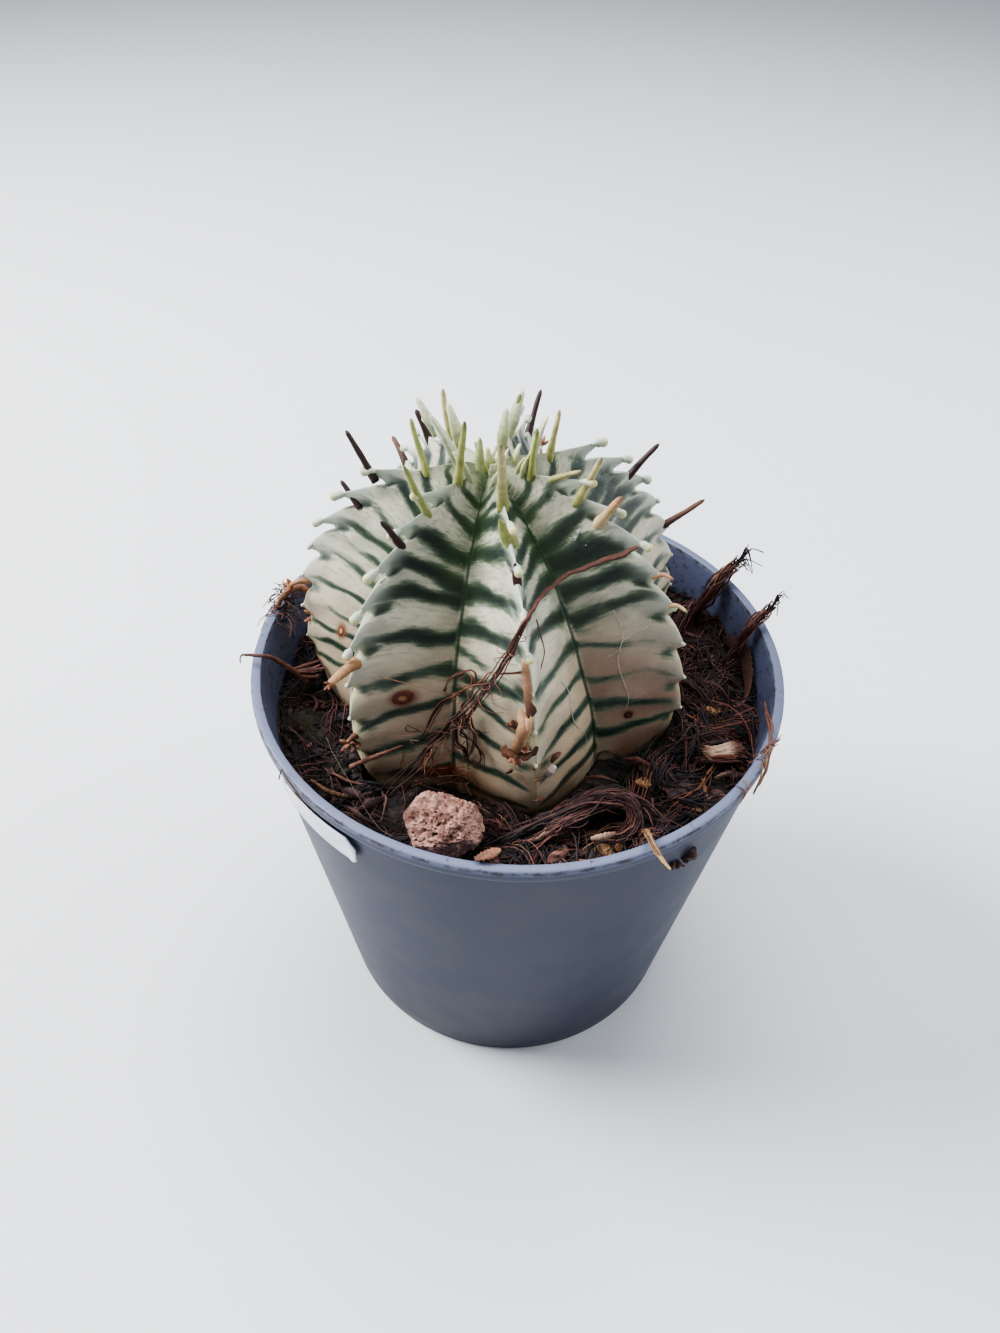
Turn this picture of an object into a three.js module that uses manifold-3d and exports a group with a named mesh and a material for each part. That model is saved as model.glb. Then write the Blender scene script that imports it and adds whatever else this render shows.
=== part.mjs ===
// A variegated melon spurge in its grey plastic nursery pot. Millimetres, +Z up.
// The origin is the centre of the pot's foot, on the surface that the pot stands on. -Y is the front.
import * as THREE from "three";
import { mergeVertices } from "three/addons/utils/BufferGeometryUtils.js";
import Module from "manifold-3d";

const wasm = await Module();
wasm.setup();

// Gaps between pieces that touch
const CLEARANCE = 0.3;
const SOIL_TO_POT = 0.36;
const SOIL_TO_PLANT = 0.45;

// Sides of what is turned round the pot's axis
const ROUND_SIDES = 56;

// Pot: a straight cone with a narrow flat rim over a small lip, and a foot ring round a raised floor
const POT_HEIGHT = 47.1;
const RIM_OUTER_RADIUS = 27.5;
const RIM_INNER_RADIUS = 26.48;
const RIM_EDGE_ROUND = 0.2;
const LIP_HEIGHT = 1.5;
const LIP_OVERHANG = 0.45;
const FOOT_RADIUS = 20.9;
const FOOT_RING_WIDTH = 3;
const FOOT_RECESS = 0.6;
const FLOOR_TOP = 1.6;
const WALL_THICKNESS = 0.75;
const FOOT_BEVEL = 0.4;
const FLOOR_BEVEL = 0.5;
const DRAIN_COUNT = 6;
const DRAIN_RADIUS = 1.8;
const DRAIN_CIRCLE_RADIUS = 13.5;
const DRAIN_SIDES = 16;

// Blank paper label under the rim, at the front left
const LABEL_THICKNESS = 0.4;
const LABEL_START = -143;
const LABEL_END = -121;
const LABEL_LOW = 40.9;
const LABEL_HIGH = 44.8;
const LABEL_COLUMNS = 10;
const LABEL_END_RISE = 0.175;
const LABEL_END_DROP = 0.35;

// Plant: seven ribs round an axis that leans a little to the left and back
const RIB_COUNT = 7;
const RIB_TURN = 360 / RIB_COUNT;
const FRONT_RIB_AZIMUTH = -77.9;
const PLANT_PIVOT = new THREE.Vector3(-1.43, 2.67, 35);
const LEAN_ABOUT_X = -3.64;
const LEAN_ABOUT_Y = -3.51;
const RIDGE = { radius: 20.42, power: 0.88, middle: 46.73, rise: 20.56 };
const VALLEY = { radius: 16.42, power: 1.56, middle: 39.46, rise: 27.21 };
const VALLEY_SHARE = 0.82;
const FACE_BULGE = 0.8;
const CREST_SIDES = [0, 0.25, 0.65, 1];
const GROWING_POINT_HEIGHT = 66.4;
const FIRST_ANGLE = 6;
const LAST_OPEN_ANGLE = 106;
const ANGLE_STEP = 5;
const BURIED_ANGLES = [116, 128, 140];
const TAPROOT = [
  { radius: 11, height: 25.5 },
  { radius: 6.5, height: 20.5 },
  { radius: 3.5, height: 14.5 },
  { radius: 1.6, height: 9.5 },
];
const TAPROOT_TIP = 8.5;

// Teeth: one leaf stub on each tubercle, a pitch apart down each ridge, from the rib's own first angle
const FIRST_TOOTH = [22, 19, 24, 20, 21, 25, 17];
const TOOTH_PITCH = 11;
const LAST_TOOTH = 96;
const TUBERCLE_LIFT = 0.75;
const TUBERCLE_SPREAD = 3.4;
const TUBERCLE_SIDE = 0.3;
const TOOTH_SHORTEST = 0.45;
const TOOTH_LONGER = { by: 2.1, above: 55, fade: 5 };
const TOOTH_LONGEST = { by: 1.1, at: 16, spread: 8 };
const TOOTH_POINTING = { first: 45, perDegree: 1.5, last: 125 };
const TOOTH_WIDTH = { least: 0.34, most: 0.62, fullLength: 2.5 };
const TOOTH_FLARE = 1.45;
const TOOTH_WAIST = 0.9;
const TOOTH_DROOP = 0.12;
const TOOTH_ROOT = 0.9;
const TOOTH_SIDES = 5;

// A horn is widest up to its middle and narrows to a shoulder just before its end
const HORN_MIDDLE = 0.45;
const HORN_SHOULDER = 0.94;
const DROOP_SHORTENING = 0.35;

// Flower stalks. Each row: turn in ribs, angle from the growing point, length, radius, lean sideways, droop
const STALKS = [
  [0, 17, 7.4, 0.47, -2, 0],
  [0, 28, 3.6, 0.42, -12, 0],
  [0, 39, 2.4, 0.4, -8, 0],
  [0, 60, 4.6, 0.5, 3, 2.6],
  [0, 74, 3.2, 0.6, -14, 1.6],
  [1, 10, 5, 0.42, -4, 0],
  [1, 24, 4.9, 0.45, 3, 0],
  [0.93, 34, 4, 0.62, -4, 0],
  [1, 52, 1.7, 0.4, -8, 0.4],
  [1, 62, 1.5, 0.4, -6, 0.4],
  [2, 15, 4.3, 0.42, 4, 0],
  [2, 43, 4, 0.4, -6, 0],
  [2, 67, 4.8, 0.42, -3, 0],
  [3, 16, 3.6, 0.4, -14, 0],
  [3, 38, 4.6, 0.4, -8, 0],
  [3, 58, 3, 0.4, 6, 0.6],
  [4, 16, 4.8, 0.42, -2, 0],
  [4, 29, 3, 0.4, 6, 0],
  [4, 51, 3.4, 0.4, -5, 0.4],
  [5, 15, 4.8, 0.42, -16, 0],
  [5, 26, 4.7, 0.4, -10, 0],
  [5, 38, 2.4, 0.4, -24, 0],
  [5, 71, 2.3, 0.42, 14, 1],
  [6, 10, 7.8, 0.45, 20, 0],
  [6, 22, 6.2, 0.42, 3, 0],
  [6, 33, 4.8, 0.42, 10, 0],
  [6, 67, 4.8, 0.62, 18, 0.8],
  [6, 90, 1.4, 0.6, 0, 0.4],
];
const STALK_SIDES = 6;
const STALK_ROOT = 1.3;
const STALK_TIP = 0.8;
const LOWEST_STALK_POINTING = 80;

// Young leaves round the growing point. Each row: turn, angle, length, half width, lean sideways, curl
const YOUNG_LEAVES = [
  [0, 8, 2.2, 0.5, 20, 0],
  [1, 8, 2.6, 0.6, 0, 0.4],
  [2, 10, 4.2, 0.65, 0, 0.6],
  [3, 9, 3.6, 0.6, -4, 0.4],
  [3, 15, 4.6, 0.7, -14, 0.7],
  [4, 12, 4.4, 0.7, 0, 0.6],
  [4, 22, 3.6, 0.6, 8, 0.5],
  [5, 7, 6, 0.75, 8, 0.8],
  [6, 7, 3.2, 0.6, -8, 0.4],
];
const LEAF_FLATNESS = 0.6;
const LEAF_TIP = 0.5;
const LEAF_SPREAD = 8;

// Soil: a peat plug with a rough top, higher at the front right
const SOIL_LEVEL = 41.1;
const SOIL_SLOPE = 0.02;
const MOUND = { x: 14, y: -8, height: 1.1, spread: 7 };
const SOIL_RINGS = [7, 13, 15.5, 17.5, 19.2, 20.7, 22.1, 23.4, 24.6];
const SOIL_EDGE_BEVEL = 0.6;
const SOIL_EDGE_DROP = 0.3;
const SOIL_WAVES = 6;
const SOIL_WAVE_HEIGHT = 0.22;
const SOIL_WAVE_LENGTHS = [3.2, 7.7];

// Bits of coir and bark half sunk in the soil's edge. Ranges run from the smallest to the largest value.
const FRAGMENT_COUNT = 18;
const FRAGMENT_DISTANCES = [21.6, 23.6];
const FRAGMENT_LENGTHS = [3, 7];
const FRAGMENT_RADII = [0.36, 0.58];
const FRAGMENT_TURNS = [65, 115];
const FRAGMENT_TILTS = [-0.08, 0.08];
const FRAGMENT_PLACE_SHARE = 0.6;
const FRAGMENT_LIFT = 0.15;
const FRAGMENT_DROOP = 0.5;
const FRAGMENT_ROOT = 0.4;
const FRAGMENT_SIDES = 5;

// Loose litter. Each route is the piece's middle line.
const STONE_CENTRE = new THREE.Vector3(-6.3, -20.35, 43.7);
const STONE_HALF = new THREE.Vector3(3.7, 2.95, 2.7);
const BARK_CENTRE = new THREE.Vector3(21.2, -9.2, 43.1);
const BARK_HALF = new THREE.Vector3(2.3, 1.25, 0.85);
const STONE_LUMP = { roughness: 0.05, detail: 4 };
const BARK_LUMP = { roughness: 0.08, detail: 2 };

// A lump's surface is the sum of waves. Each row: height, and the waves along X, Y and Z with their phase
const LUMP_WAVES = [
  [1, 4, 3, 0, 1],
  [1, 2, 0, 5, 0],
  [0.6, -3, 7, 0, 0],
];
const STRAND_RADIUS = 0.3;
const STRAND_ROUTE = [
  [10.5, -3.4, 63.9],
  [8, -4.1, 63.1],
  [5.9, -4.9, 62.6],
  [4.1, -5.8, 62.2],
  [2.8, -7.2, 62],
  [1.5, -10.4, 63],
  [0.4, -13.5, 63],
  [-0.4, -13.9, 60.9],
  [-1.7, -14, 57.9],
  [-2.8, -13.9, 55.5],
  [-4.3, -13.9, 53],
  [-5.8, -13.7, 50.6],
  [-7.5, -14, 48],
  [-8.5, -14.2, 46],
  [-9.9, -14.8, 44.2],
  [-11, -15.3, 42.9],
  [-11.8, -16, 41.9],
];
const BUNDLE_RADIUS = 0.75;
const BUNDLE_ROUTE = [
  [-1.6, -21.1, 41.6],
  [1.8, -19.2, 42.5],
  [4.8, -18, 43.3],
  [7.5, -16.9, 44],
  [9.6, -16.4, 44.2],
  [11.2, -16.9, 43.9],
  [11.7, -18, 43.2],
  [10.9, -19.1, 42.6],
  [9.4, -19.6, 42.1],
];
const BUNDLE_SIDE_RADIUS = 0.35;
const BUNDLE_SIDE_ROUTES = [
  [
    [0.4, -21.4, 41.8],
    [3.6, -19.9, 42.9],
    [7.4, -18.1, 43.8],
    [10, -17.1, 43.9],
  ],
  [
    [2.4, -18.4, 42.5],
    [5.6, -17.3, 43.6],
    [9, -16, 44.3],
    [12.4, -16.4, 43.5],
    [14.6, -18.3, 42.7],
  ],
];
const STRAW_RADIUS = 0.42;
const STRAW_ROUTE = [
  [11.9, -20.6, 43.9],
  [12, -22.1, 46.8],
  [12.1, -24, 48.3],
  [12.8, -25.8, 48.3],
  [13.6, -27.3, 48.4],
];
const TWIG_RADIUS = 0.42;
const TWIG_ROUTE = [
  [-28.1, -3.3, 48.1],
  [-26.9, -3.4, 48.2],
  [-25.6, -3.2, 48],
  [-24.1, -2.4, 46],
  [-22.4, -1.3, 42.6],
];
const FRONT_STICK_RADIUS = 0.4;
const FRONT_STICK_ROUTE = [
  [-19.4, -15.6, 43.7],
  [-17.4, -16.2, 42.6],
  [-15.1, -16, 42],
  [-13.6, -15.2, 41.6],
];
const BACK_STICK_RADIUS = 0.4;
const BACK_STICK_ROUTE = [
  [19.5, 12, 42],
  [20.9, 12.3, 44.6],
  [22, 12.5, 46.9],
  [23.3, 13.1, 48.8],
  [24.6, 13.5, 50.3],
];
const SIDE_STICK_RADIUS = 0.4;
const SIDE_STICK_ROUTE = [
  [22.8, 4.6, 42],
  [23.9, 4.9, 44.8],
  [24.8, 5.2, 47.2],
  [26, 5.6, 49],
  [27.3, 6.1, 50.4],
];
const LITTER_SIDES = 6;
const LITTER_STEP = 1.3;

const radians = THREE.MathUtils.degToRad;
const LEAN = new THREE.Matrix4()
  .makeRotationY(radians(LEAN_ABOUT_Y))
  .multiply(new THREE.Matrix4().makeRotationX(radians(LEAN_ABOUT_X)));

// A repeatable random number from 0 to 1
let randomState = 7;
function random() {
  randomState = (randomState * 16807) % 2147483647;
  return randomState / 2147483647;
}

function between([low, high]) {
  return low + (high - low) * random();
}

// A closed geometry as a solid, with its shared vertices merged
function solidOf(geometry) {
  const bare = geometry.index ? geometry.toNonIndexed() : geometry.clone();
  bare.deleteAttribute("normal");
  bare.deleteAttribute("uv");
  const merged = mergeVertices(bare, 1e-4);
  const corners = merged.index.array;
  const kept = [];
  for (let i = 0; i < corners.length; i += 3) {
    const [a, b, c] = corners.slice(i, i + 3);
    if (a !== b && b !== c && c !== a) kept.push(a, b, c);
  }
  const mesh = new wasm.Mesh({
    numProp: 3,
    vertProperties: new Float32Array(merged.attributes.position.array),
    triVerts: new Uint32Array(kept),
  });
  return new wasm.Manifold(mesh);
}

// The solid's surface as a geometry
function geometryOf(solid) {
  const mesh = solid.getMesh();
  const geometry = new THREE.BufferGeometry();
  geometry.setAttribute("position", new THREE.BufferAttribute(new Float32Array(mesh.vertProperties), 3));
  geometry.setIndex(new THREE.BufferAttribute(new Uint32Array(mesh.triVerts), 1));
  geometry.computeVertexNormals();
  return geometry;
}

function join(solids) {
  return solids.reduce((all, one) => all.add(one));
}

function polar(radius, azimuth, height) {
  const turn = radians(azimuth);
  return new THREE.Vector3(radius * Math.cos(turn), radius * Math.sin(turn), height);
}

// A solid of revolution about Z from a profile of [radius, height] points
function turned(profile, segments) {
  const points = profile.map(([radius, height]) => new THREE.Vector2(radius, height));
  return new THREE.LatheGeometry(points, segments).rotateX(Math.PI / 2);
}

// A closed ball-like surface: pointAt gives the place of each column and row, from the top to the bottom
function wrapped(columns, rows, pointAt) {
  const geometry = new THREE.SphereGeometry(1, columns, rows);
  const place = geometry.attributes.position;
  for (let row = 0; row <= rows; row += 1) {
    for (let column = 0; column <= columns; column += 1) {
      const point = pointAt(column % columns, row);
      place.setXYZ(row * (columns + 1) + column, point.x, point.y, point.z);
    }
  }
  return geometry;
}

// A bar of even thickness along a route, grown on all sides and at both ends
function bar(route, radius, grow) {
  const places = route.map((place) => new THREE.Vector3(...place));
  const [first, second] = places;
  const [last, beforeLast] = [places.at(-1), places.at(-2)];
  first.addScaledVector(first.clone().sub(second).normalize(), grow);
  last.addScaledVector(last.clone().sub(beforeLast).normalize(), grow);
  const curve = new THREE.CatmullRomCurve3(places);
  const section = new THREE.Shape();
  for (let side = 0; side < LITTER_SIDES; side += 1) {
    const turn = (2 * Math.PI * side) / LITTER_SIDES;
    const [x, y] = [(radius + grow) * Math.cos(turn), (radius + grow) * Math.sin(turn)];
    if (side === 0) section.moveTo(x, y);
    else section.lineTo(x, y);
  }
  const steps = Math.max(4, Math.round(curve.getLength() / LITTER_STEP));
  return solidOf(new THREE.ExtrudeGeometry(section, { steps, extrudePath: curve, curveSegments: 1 }));
}

// A horn that grows from base along a direction: tapered, flattened by flatness, and bent by droop towards bend.
// It has a radius at its root, its middle and its shoulder, or only the first two where it ends in a point.
function horn({ base, along, bend, length, radii, root, sides, flatness = 1, droop = 0 }) {
  const heights = [-root, length * HORN_MIDDLE, length * HORN_SHOULDER];
  const rings = radii.map((radius, ring) => [radius, heights[ring]]);
  const geometry = turned([[0, -root], ...rings, [0, length]], sides);
  const place = geometry.attributes.position;
  const across = new THREE.Vector3().crossVectors(bend, along).normalize();
  const towards = new THREE.Vector3().crossVectors(along, across).normalize();
  for (let i = 0; i < place.count; i += 1) {
    const share = Math.max(0, place.getZ(i)) / length;
    const point = base.clone();
    point.addScaledVector(across, place.getX(i));
    point.addScaledVector(towards, place.getY(i) * flatness + droop * share * share);
    point.addScaledVector(along, place.getZ(i) - DROOP_SHORTENING * droop * share * share);
    place.setXYZ(i, point.x, point.y, point.z);
  }
  return solidOf(geometry);
}

function potWallRadius(height) {
  const top = RIM_OUTER_RADIUS - LIP_OVERHANG;
  return FOOT_RADIUS + ((top - FOOT_RADIUS) * height) / (POT_HEIGHT - LIP_HEIGHT);
}

function potInnerRadius(height) {
  const low = potWallRadius(FLOOR_TOP) - WALL_THICKNESS;
  return low + ((RIM_INNER_RADIUS - low) * (height - FLOOR_TOP)) / (POT_HEIGHT - FLOOR_TOP);
}

function makePot() {
  const lipLow = POT_HEIGHT - LIP_HEIGHT;
  const shell = solidOf(
    turned(
      [
        [0, FOOT_RECESS],
        [FOOT_RADIUS - FOOT_RING_WIDTH - FOOT_BEVEL, FOOT_RECESS],
        [FOOT_RADIUS - FOOT_RING_WIDTH, 0],
        [FOOT_RADIUS - FOOT_BEVEL, 0],
        [potWallRadius(FOOT_BEVEL), FOOT_BEVEL],
        [potWallRadius(lipLow), lipLow],
        [RIM_OUTER_RADIUS, lipLow + RIM_EDGE_ROUND],
        [RIM_OUTER_RADIUS, POT_HEIGHT - RIM_EDGE_ROUND],
        [RIM_OUTER_RADIUS - RIM_EDGE_ROUND, POT_HEIGHT],
        [RIM_INNER_RADIUS, POT_HEIGHT],
        [potInnerRadius(FLOOR_TOP + FLOOR_BEVEL), FLOOR_TOP + FLOOR_BEVEL],
        [potInnerRadius(FLOOR_TOP) - FLOOR_BEVEL, FLOOR_TOP],
        [0, FLOOR_TOP],
      ],
      ROUND_SIDES,
    ),
  );
  const drains = [];
  for (let drain = 0; drain < DRAIN_COUNT; drain += 1) {
    const centre = polar(DRAIN_CIRCLE_RADIUS, ((drain + 0.5) * 360) / DRAIN_COUNT, 0);
    const cutter = new THREE.CylinderGeometry(DRAIN_RADIUS, DRAIN_RADIUS, 4 * FLOOR_TOP, DRAIN_SIDES);
    drains.push(solidOf(cutter.rotateX(Math.PI / 2).translate(centre.x, centre.y, 0)));
  }
  return shell.subtract(join(drains));
}

// The label follows the wall, CLEARANCE outside it, with its right end cut to a blunt point
function makeLabel() {
  const corner = (column, up, out) => {
    const azimuth = LABEL_START + ((LABEL_END - LABEL_START) * column) / LABEL_COLUMNS;
    const full = LABEL_HIGH - LABEL_LOW;
    const isEnd = column === LABEL_COLUMNS;
    const low = LABEL_LOW + (isEnd ? LABEL_END_RISE * full : 0);
    const high = LABEL_HIGH - (isEnd ? LABEL_END_DROP * full : 0);
    const height = up ? high : low;
    return polar(potWallRadius(height) + CLEARANCE + (out ? LABEL_THICKNESS : 0), azimuth, height);
  };
  const sheet = new THREE.BoxGeometry(1, 1, 1, LABEL_COLUMNS, 1, 1);
  const place = sheet.attributes.position;
  for (let i = 0; i < place.count; i += 1) {
    const column = Math.round((place.getX(i) + 0.5) * LABEL_COLUMNS);
    const point = corner(column, place.getY(i) > 0, place.getZ(i) > 0);
    place.setXYZ(i, point.x, point.y, point.z);
  }
  return solidOf(sheet);
}

// A place in the plant's own upright frame, leaned over as the plant stands
function leaned(point) {
  return point.setZ(point.z - PLANT_PIVOT.z).applyMatrix4(LEAN).add(PLANT_PIVOT);
}

function outline(shape, angle) {
  const turn = radians(angle);
  return [shape.radius * Math.sin(turn) ** shape.power, shape.middle + shape.rise * Math.cos(turn)];
}

function teethOf(rib) {
  const angles = [];
  for (let angle = FIRST_TOOTH[rib]; angle <= LAST_TOOTH; angle += TOOTH_PITCH) angles.push(angle);
  return angles;
}

function toothLength(angle) {
  const longer = TOOTH_LONGER.by / (1 + Math.exp((angle - TOOTH_LONGER.above) / TOOTH_LONGER.fade));
  const fromLongest = (angle - TOOTH_LONGEST.at) / TOOTH_LONGEST.spread;
  return TOOTH_SHORTEST + longer + TOOTH_LONGEST.by * Math.exp(-(fromLongest ** 2));
}

// How far the skin swells over the nearest tubercle of a rib
function tubercleLift(rib, share, angle) {
  const nearest = Math.min(...teethOf(rib).map((tooth) => Math.abs(angle - tooth)));
  const down = Math.exp(-((nearest / TUBERCLE_SPREAD) ** 2));
  return TUBERCLE_LIFT * down * Math.exp(-((share / TUBERCLE_SIDE) ** 2));
}

// The skin at a turn in ribs (whole numbers are ridges, halves are valleys) and an angle from the growing point
function skin(turn, angle, grow = 0) {
  const nearestRib = Math.round(turn);
  const side = 2 * (turn - nearestRib);
  const share = Math.abs(side);
  const rib = ((nearestRib % RIB_COUNT) + RIB_COUNT) % RIB_COUNT;
  const ridgeAzimuth = FRONT_RIB_AZIMUTH + nearestRib * RIB_TURN;
  const [ridgeRadius, ridgeHeight] = outline(RIDGE, angle);
  const [valleyRadius, valleyHeight] = outline(VALLEY, angle * VALLEY_SHARE);
  const ridge = polar(ridgeRadius, ridgeAzimuth, ridgeHeight);
  const valley = polar(valleyRadius, ridgeAzimuth + (Math.sign(side) * RIB_TURN) / 2, valleyHeight);
  const point = ridge.lerp(valley, share);
  const azimuth = ridgeAzimuth + (side * RIB_TURN) / 4;
  const outward = polar(Math.sin(radians(angle)), azimuth, Math.cos(radians(angle)));
  const bulge = FACE_BULGE * 4 * share * (1 - share) * Math.sin(radians(angle));
  point.addScaledVector(outward, bulge + tubercleLift(rib, share, angle));
  return leaned(point.addScaledVector(polar(1, azimuth, 0), grow));
}

function skinAngles() {
  const angles = [];
  for (let angle = FIRST_ANGLE; angle <= LAST_OPEN_ANGLE; angle += ANGLE_STEP) angles.push(angle);
  return angles.concat(BURIED_ANGLES);
}

// The ribbed body and its taproot as one closed surface
function makeBody(grow = 0) {
  const angles = skinAngles();
  const turns = CREST_SIDES.map((side) => side / 2);
  turns.push(...turns.slice(1, -1).reverse().map((turn) => 1 - turn));
  const columns = RIB_COUNT * turns.length;
  const rows = 1 + angles.length + TAPROOT.length;
  const geometry = wrapped(columns, rows, (column, row) => {
    const turn = Math.floor(column / turns.length) + turns[column % turns.length];
    if (row === 0) return leaned(new THREE.Vector3(0, 0, GROWING_POINT_HEIGHT));
    if (row <= angles.length) return skin(turn, angles[row - 1], grow);
    const ring = TAPROOT[row - 1 - angles.length];
    if (!ring) return leaned(new THREE.Vector3(0, 0, TAPROOT_TIP - grow));
    return leaned(polar(ring.radius + grow, FRONT_RIB_AZIMUTH + turn * RIB_TURN, ring.height - grow));
  });
  return solidOf(geometry);
}

// Directions at a turn in ribs: outward, sideways and up, leaned with the plant
function ridgeFrame(turn) {
  const azimuth = FRONT_RIB_AZIMUTH + turn * RIB_TURN;
  const frame = [polar(1, azimuth, 0), polar(1, azimuth + 90, 0), new THREE.Vector3(0, 0, 1)];
  return frame.map((direction) => direction.transformDirection(LEAN));
}

// A direction in a rib's plane at an angle from the plant's axis, leaned sideways
function ridgeDirection(turn, fromAxis, sideways) {
  const [outward, across, up] = ridgeFrame(turn);
  const direction = outward.multiplyScalar(Math.sin(radians(fromAxis)));
  direction.addScaledVector(up, Math.cos(radians(fromAxis)));
  return direction.addScaledVector(across, Math.tan(radians(sideways))).normalize();
}

const DOWN = new THREE.Vector3(0, 0, -1);

function makeTeeth() {
  const teeth = [];
  for (let rib = 0; rib < RIB_COUNT; rib += 1) {
    for (const angle of teethOf(rib)) {
      const length = toothLength(angle);
      const pointing = Math.min(TOOTH_POINTING.last, TOOTH_POINTING.first + TOOTH_POINTING.perDegree * angle);
      const share = Math.min(1, length / TOOTH_WIDTH.fullLength);
      const radius = THREE.MathUtils.lerp(TOOTH_WIDTH.least, TOOTH_WIDTH.most, share);
      teeth.push(
        horn({
          base: skin(rib, angle + 1),
          along: ridgeDirection(rib, pointing, 0),
          bend: DOWN,
          length,
          radii: [TOOTH_FLARE * radius, TOOTH_WAIST * radius],
          root: TOOTH_ROOT,
          sides: TOOTH_SIDES,
          droop: TOOTH_DROOP * length,
        }),
      );
    }
  }
  return teeth;
}

function makeStalks() {
  return STALKS.map(([turn, angle, length, radius, sideways, droop]) =>
    horn({
      base: skin(turn, angle),
      along: ridgeDirection(turn, Math.min(angle, LOWEST_STALK_POINTING), sideways),
      bend: DOWN,
      length,
      radii: [radius, radius, STALK_TIP * radius],
      root: STALK_ROOT,
      sides: STALK_SIDES,
      droop,
    }),
  );
}

function makeYoungLeaves() {
  return YOUNG_LEAVES.map(([turn, angle, length, halfWidth, sideways, curl]) =>
    horn({
      base: skin(turn, angle),
      along: ridgeDirection(turn, angle + LEAF_SPREAD, sideways),
      bend: ridgeFrame(turn)[0],
      length,
      radii: [halfWidth, halfWidth, LEAF_TIP * halfWidth],
      root: STALK_ROOT,
      sides: STALK_SIDES,
      flatness: LEAF_FLATNESS,
      droop: curl,
    }),
  );
}

function makeSoilWaves() {
  const waves = [];
  for (let wave = 0; wave < SOIL_WAVES; wave += 1) {
    const direction = random() * Math.PI;
    const length = between(SOIL_WAVE_LENGTHS);
    waves.push({
      x: (2 * Math.PI * Math.cos(direction)) / length,
      y: (2 * Math.PI * Math.sin(direction)) / length,
      phase: 2 * Math.PI * random(),
    });
  }
  return waves;
}
const soilWaves = makeSoilWaves();

function soilTop(x, y) {
  const ripple = soilWaves.reduce((sum, wave) => sum + Math.sin(wave.x * x + wave.y * y + wave.phase), 0);
  const away = ((x - MOUND.x) ** 2 + (y - MOUND.y) ** 2) / MOUND.spread ** 2;
  return SOIL_LEVEL + SOIL_SLOPE * x + MOUND.height * Math.exp(-away) + SOIL_WAVE_HEIGHT * ripple;
}

function makeFragments() {
  const fragments = [];
  for (let i = 0; i < FRAGMENT_COUNT; i += 1) {
    const azimuth = (360 * (i + FRAGMENT_PLACE_SHARE * random())) / FRAGMENT_COUNT;
    const middle = polar(between(FRAGMENT_DISTANCES), azimuth, 0);
    const along = polar(1, azimuth + between(FRAGMENT_TURNS), between(FRAGMENT_TILTS)).normalize();
    const length = between(FRAGMENT_LENGTHS);
    const start = middle.clone().addScaledVector(along, -length / 2);
    start.z = soilTop(middle.x, middle.y) + FRAGMENT_LIFT;
    const radius = between(FRAGMENT_RADII);
    fragments.push(
      horn({
        base: start,
        along,
        bend: DOWN,
        length,
        radii: [0.7 * radius, radius, 0.6 * radius],
        root: FRAGMENT_ROOT,
        sides: FRAGMENT_SIDES,
        droop: FRAGMENT_DROOP,
      }),
    );
  }
  return fragments;
}

function makeSoil(beds) {
  const low = FLOOR_TOP + CLEARANCE;
  const edgeAt = (height) => potInnerRadius(height) - SOIL_TO_POT;
  const rows = SOIL_RINGS.length + 4;
  const plug = wrapped(ROUND_SIDES, rows, (column, row) => {
    const azimuth = (360 * column) / ROUND_SIDES;
    if (row === 0) return new THREE.Vector3(0, 0, SOIL_LEVEL);
    if (row <= SOIL_RINGS.length) {
      const point = polar(SOIL_RINGS[row - 1], azimuth, 0);
      return point.setZ(soilTop(point.x, point.y));
    }
    if (row === rows) return new THREE.Vector3(0, 0, low);
    if (row === rows - 1) return polar(edgeAt(low) - SOIL_EDGE_BEVEL, azimuth, low);
    if (row === rows - 2) return polar(edgeAt(low + SOIL_EDGE_BEVEL), azimuth, low + SOIL_EDGE_BEVEL);
    const rim = polar(edgeAt(SOIL_LEVEL), azimuth, 0);
    const height = soilTop(rim.x, rim.y) - SOIL_EDGE_DROP;
    return polar(edgeAt(height), azimuth, height);
  });
  return join([solidOf(plug), ...makeFragments()]).subtract(join(beds));
}

// A rough lump: a ball with its half sizes, its surface pushed in and out by waves
function makeLump(centre, half, { roughness, detail }, grow) {
  const geometry = new THREE.IcosahedronGeometry(1, detail);
  const place = geometry.attributes.position;
  for (let i = 0; i < place.count; i += 1) {
    const [x, y, z] = [place.getX(i), place.getY(i), place.getZ(i)];
    const heights = LUMP_WAVES.map(([height, u, v, w, phase]) => height * Math.sin(u * x + v * y + w * z + phase));
    const size = 1 + roughness * heights.reduce((sum, height) => sum + height);
    place.setXYZ(
      i,
      centre.x + x * (half.x * size + grow),
      centre.y + y * (half.y * size + grow),
      centre.z + z * (half.z * size + grow),
    );
  }
  return solidOf(geometry);
}

// Each loose piece, and the same piece a clearance larger, which presses its bed into the soil
function looseLitter(grow) {
  const sides = BUNDLE_SIDE_ROUTES.map((route) => bar(route, BUNDLE_SIDE_RADIUS, grow));
  return {
    stone: makeLump(STONE_CENTRE, STONE_HALF, STONE_LUMP, grow),
    bark_chip: makeLump(BARK_CENTRE, BARK_HALF, BARK_LUMP, grow),
    coir_strand: bar(STRAND_ROUTE, STRAND_RADIUS, grow),
    coir_bundle: join([bar(BUNDLE_ROUTE, BUNDLE_RADIUS, grow), ...sides]),
    straw: bar(STRAW_ROUTE, STRAW_RADIUS, grow),
    left_twig: bar(TWIG_ROUTE, TWIG_RADIUS, grow),
    front_stick: bar(FRONT_STICK_ROUTE, FRONT_STICK_RADIUS, grow),
    back_stick: bar(BACK_STICK_ROUTE, BACK_STICK_RADIUS, grow),
    side_stick: bar(SIDE_STICK_ROUTE, SIDE_STICK_RADIUS, grow),
  };
}

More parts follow.
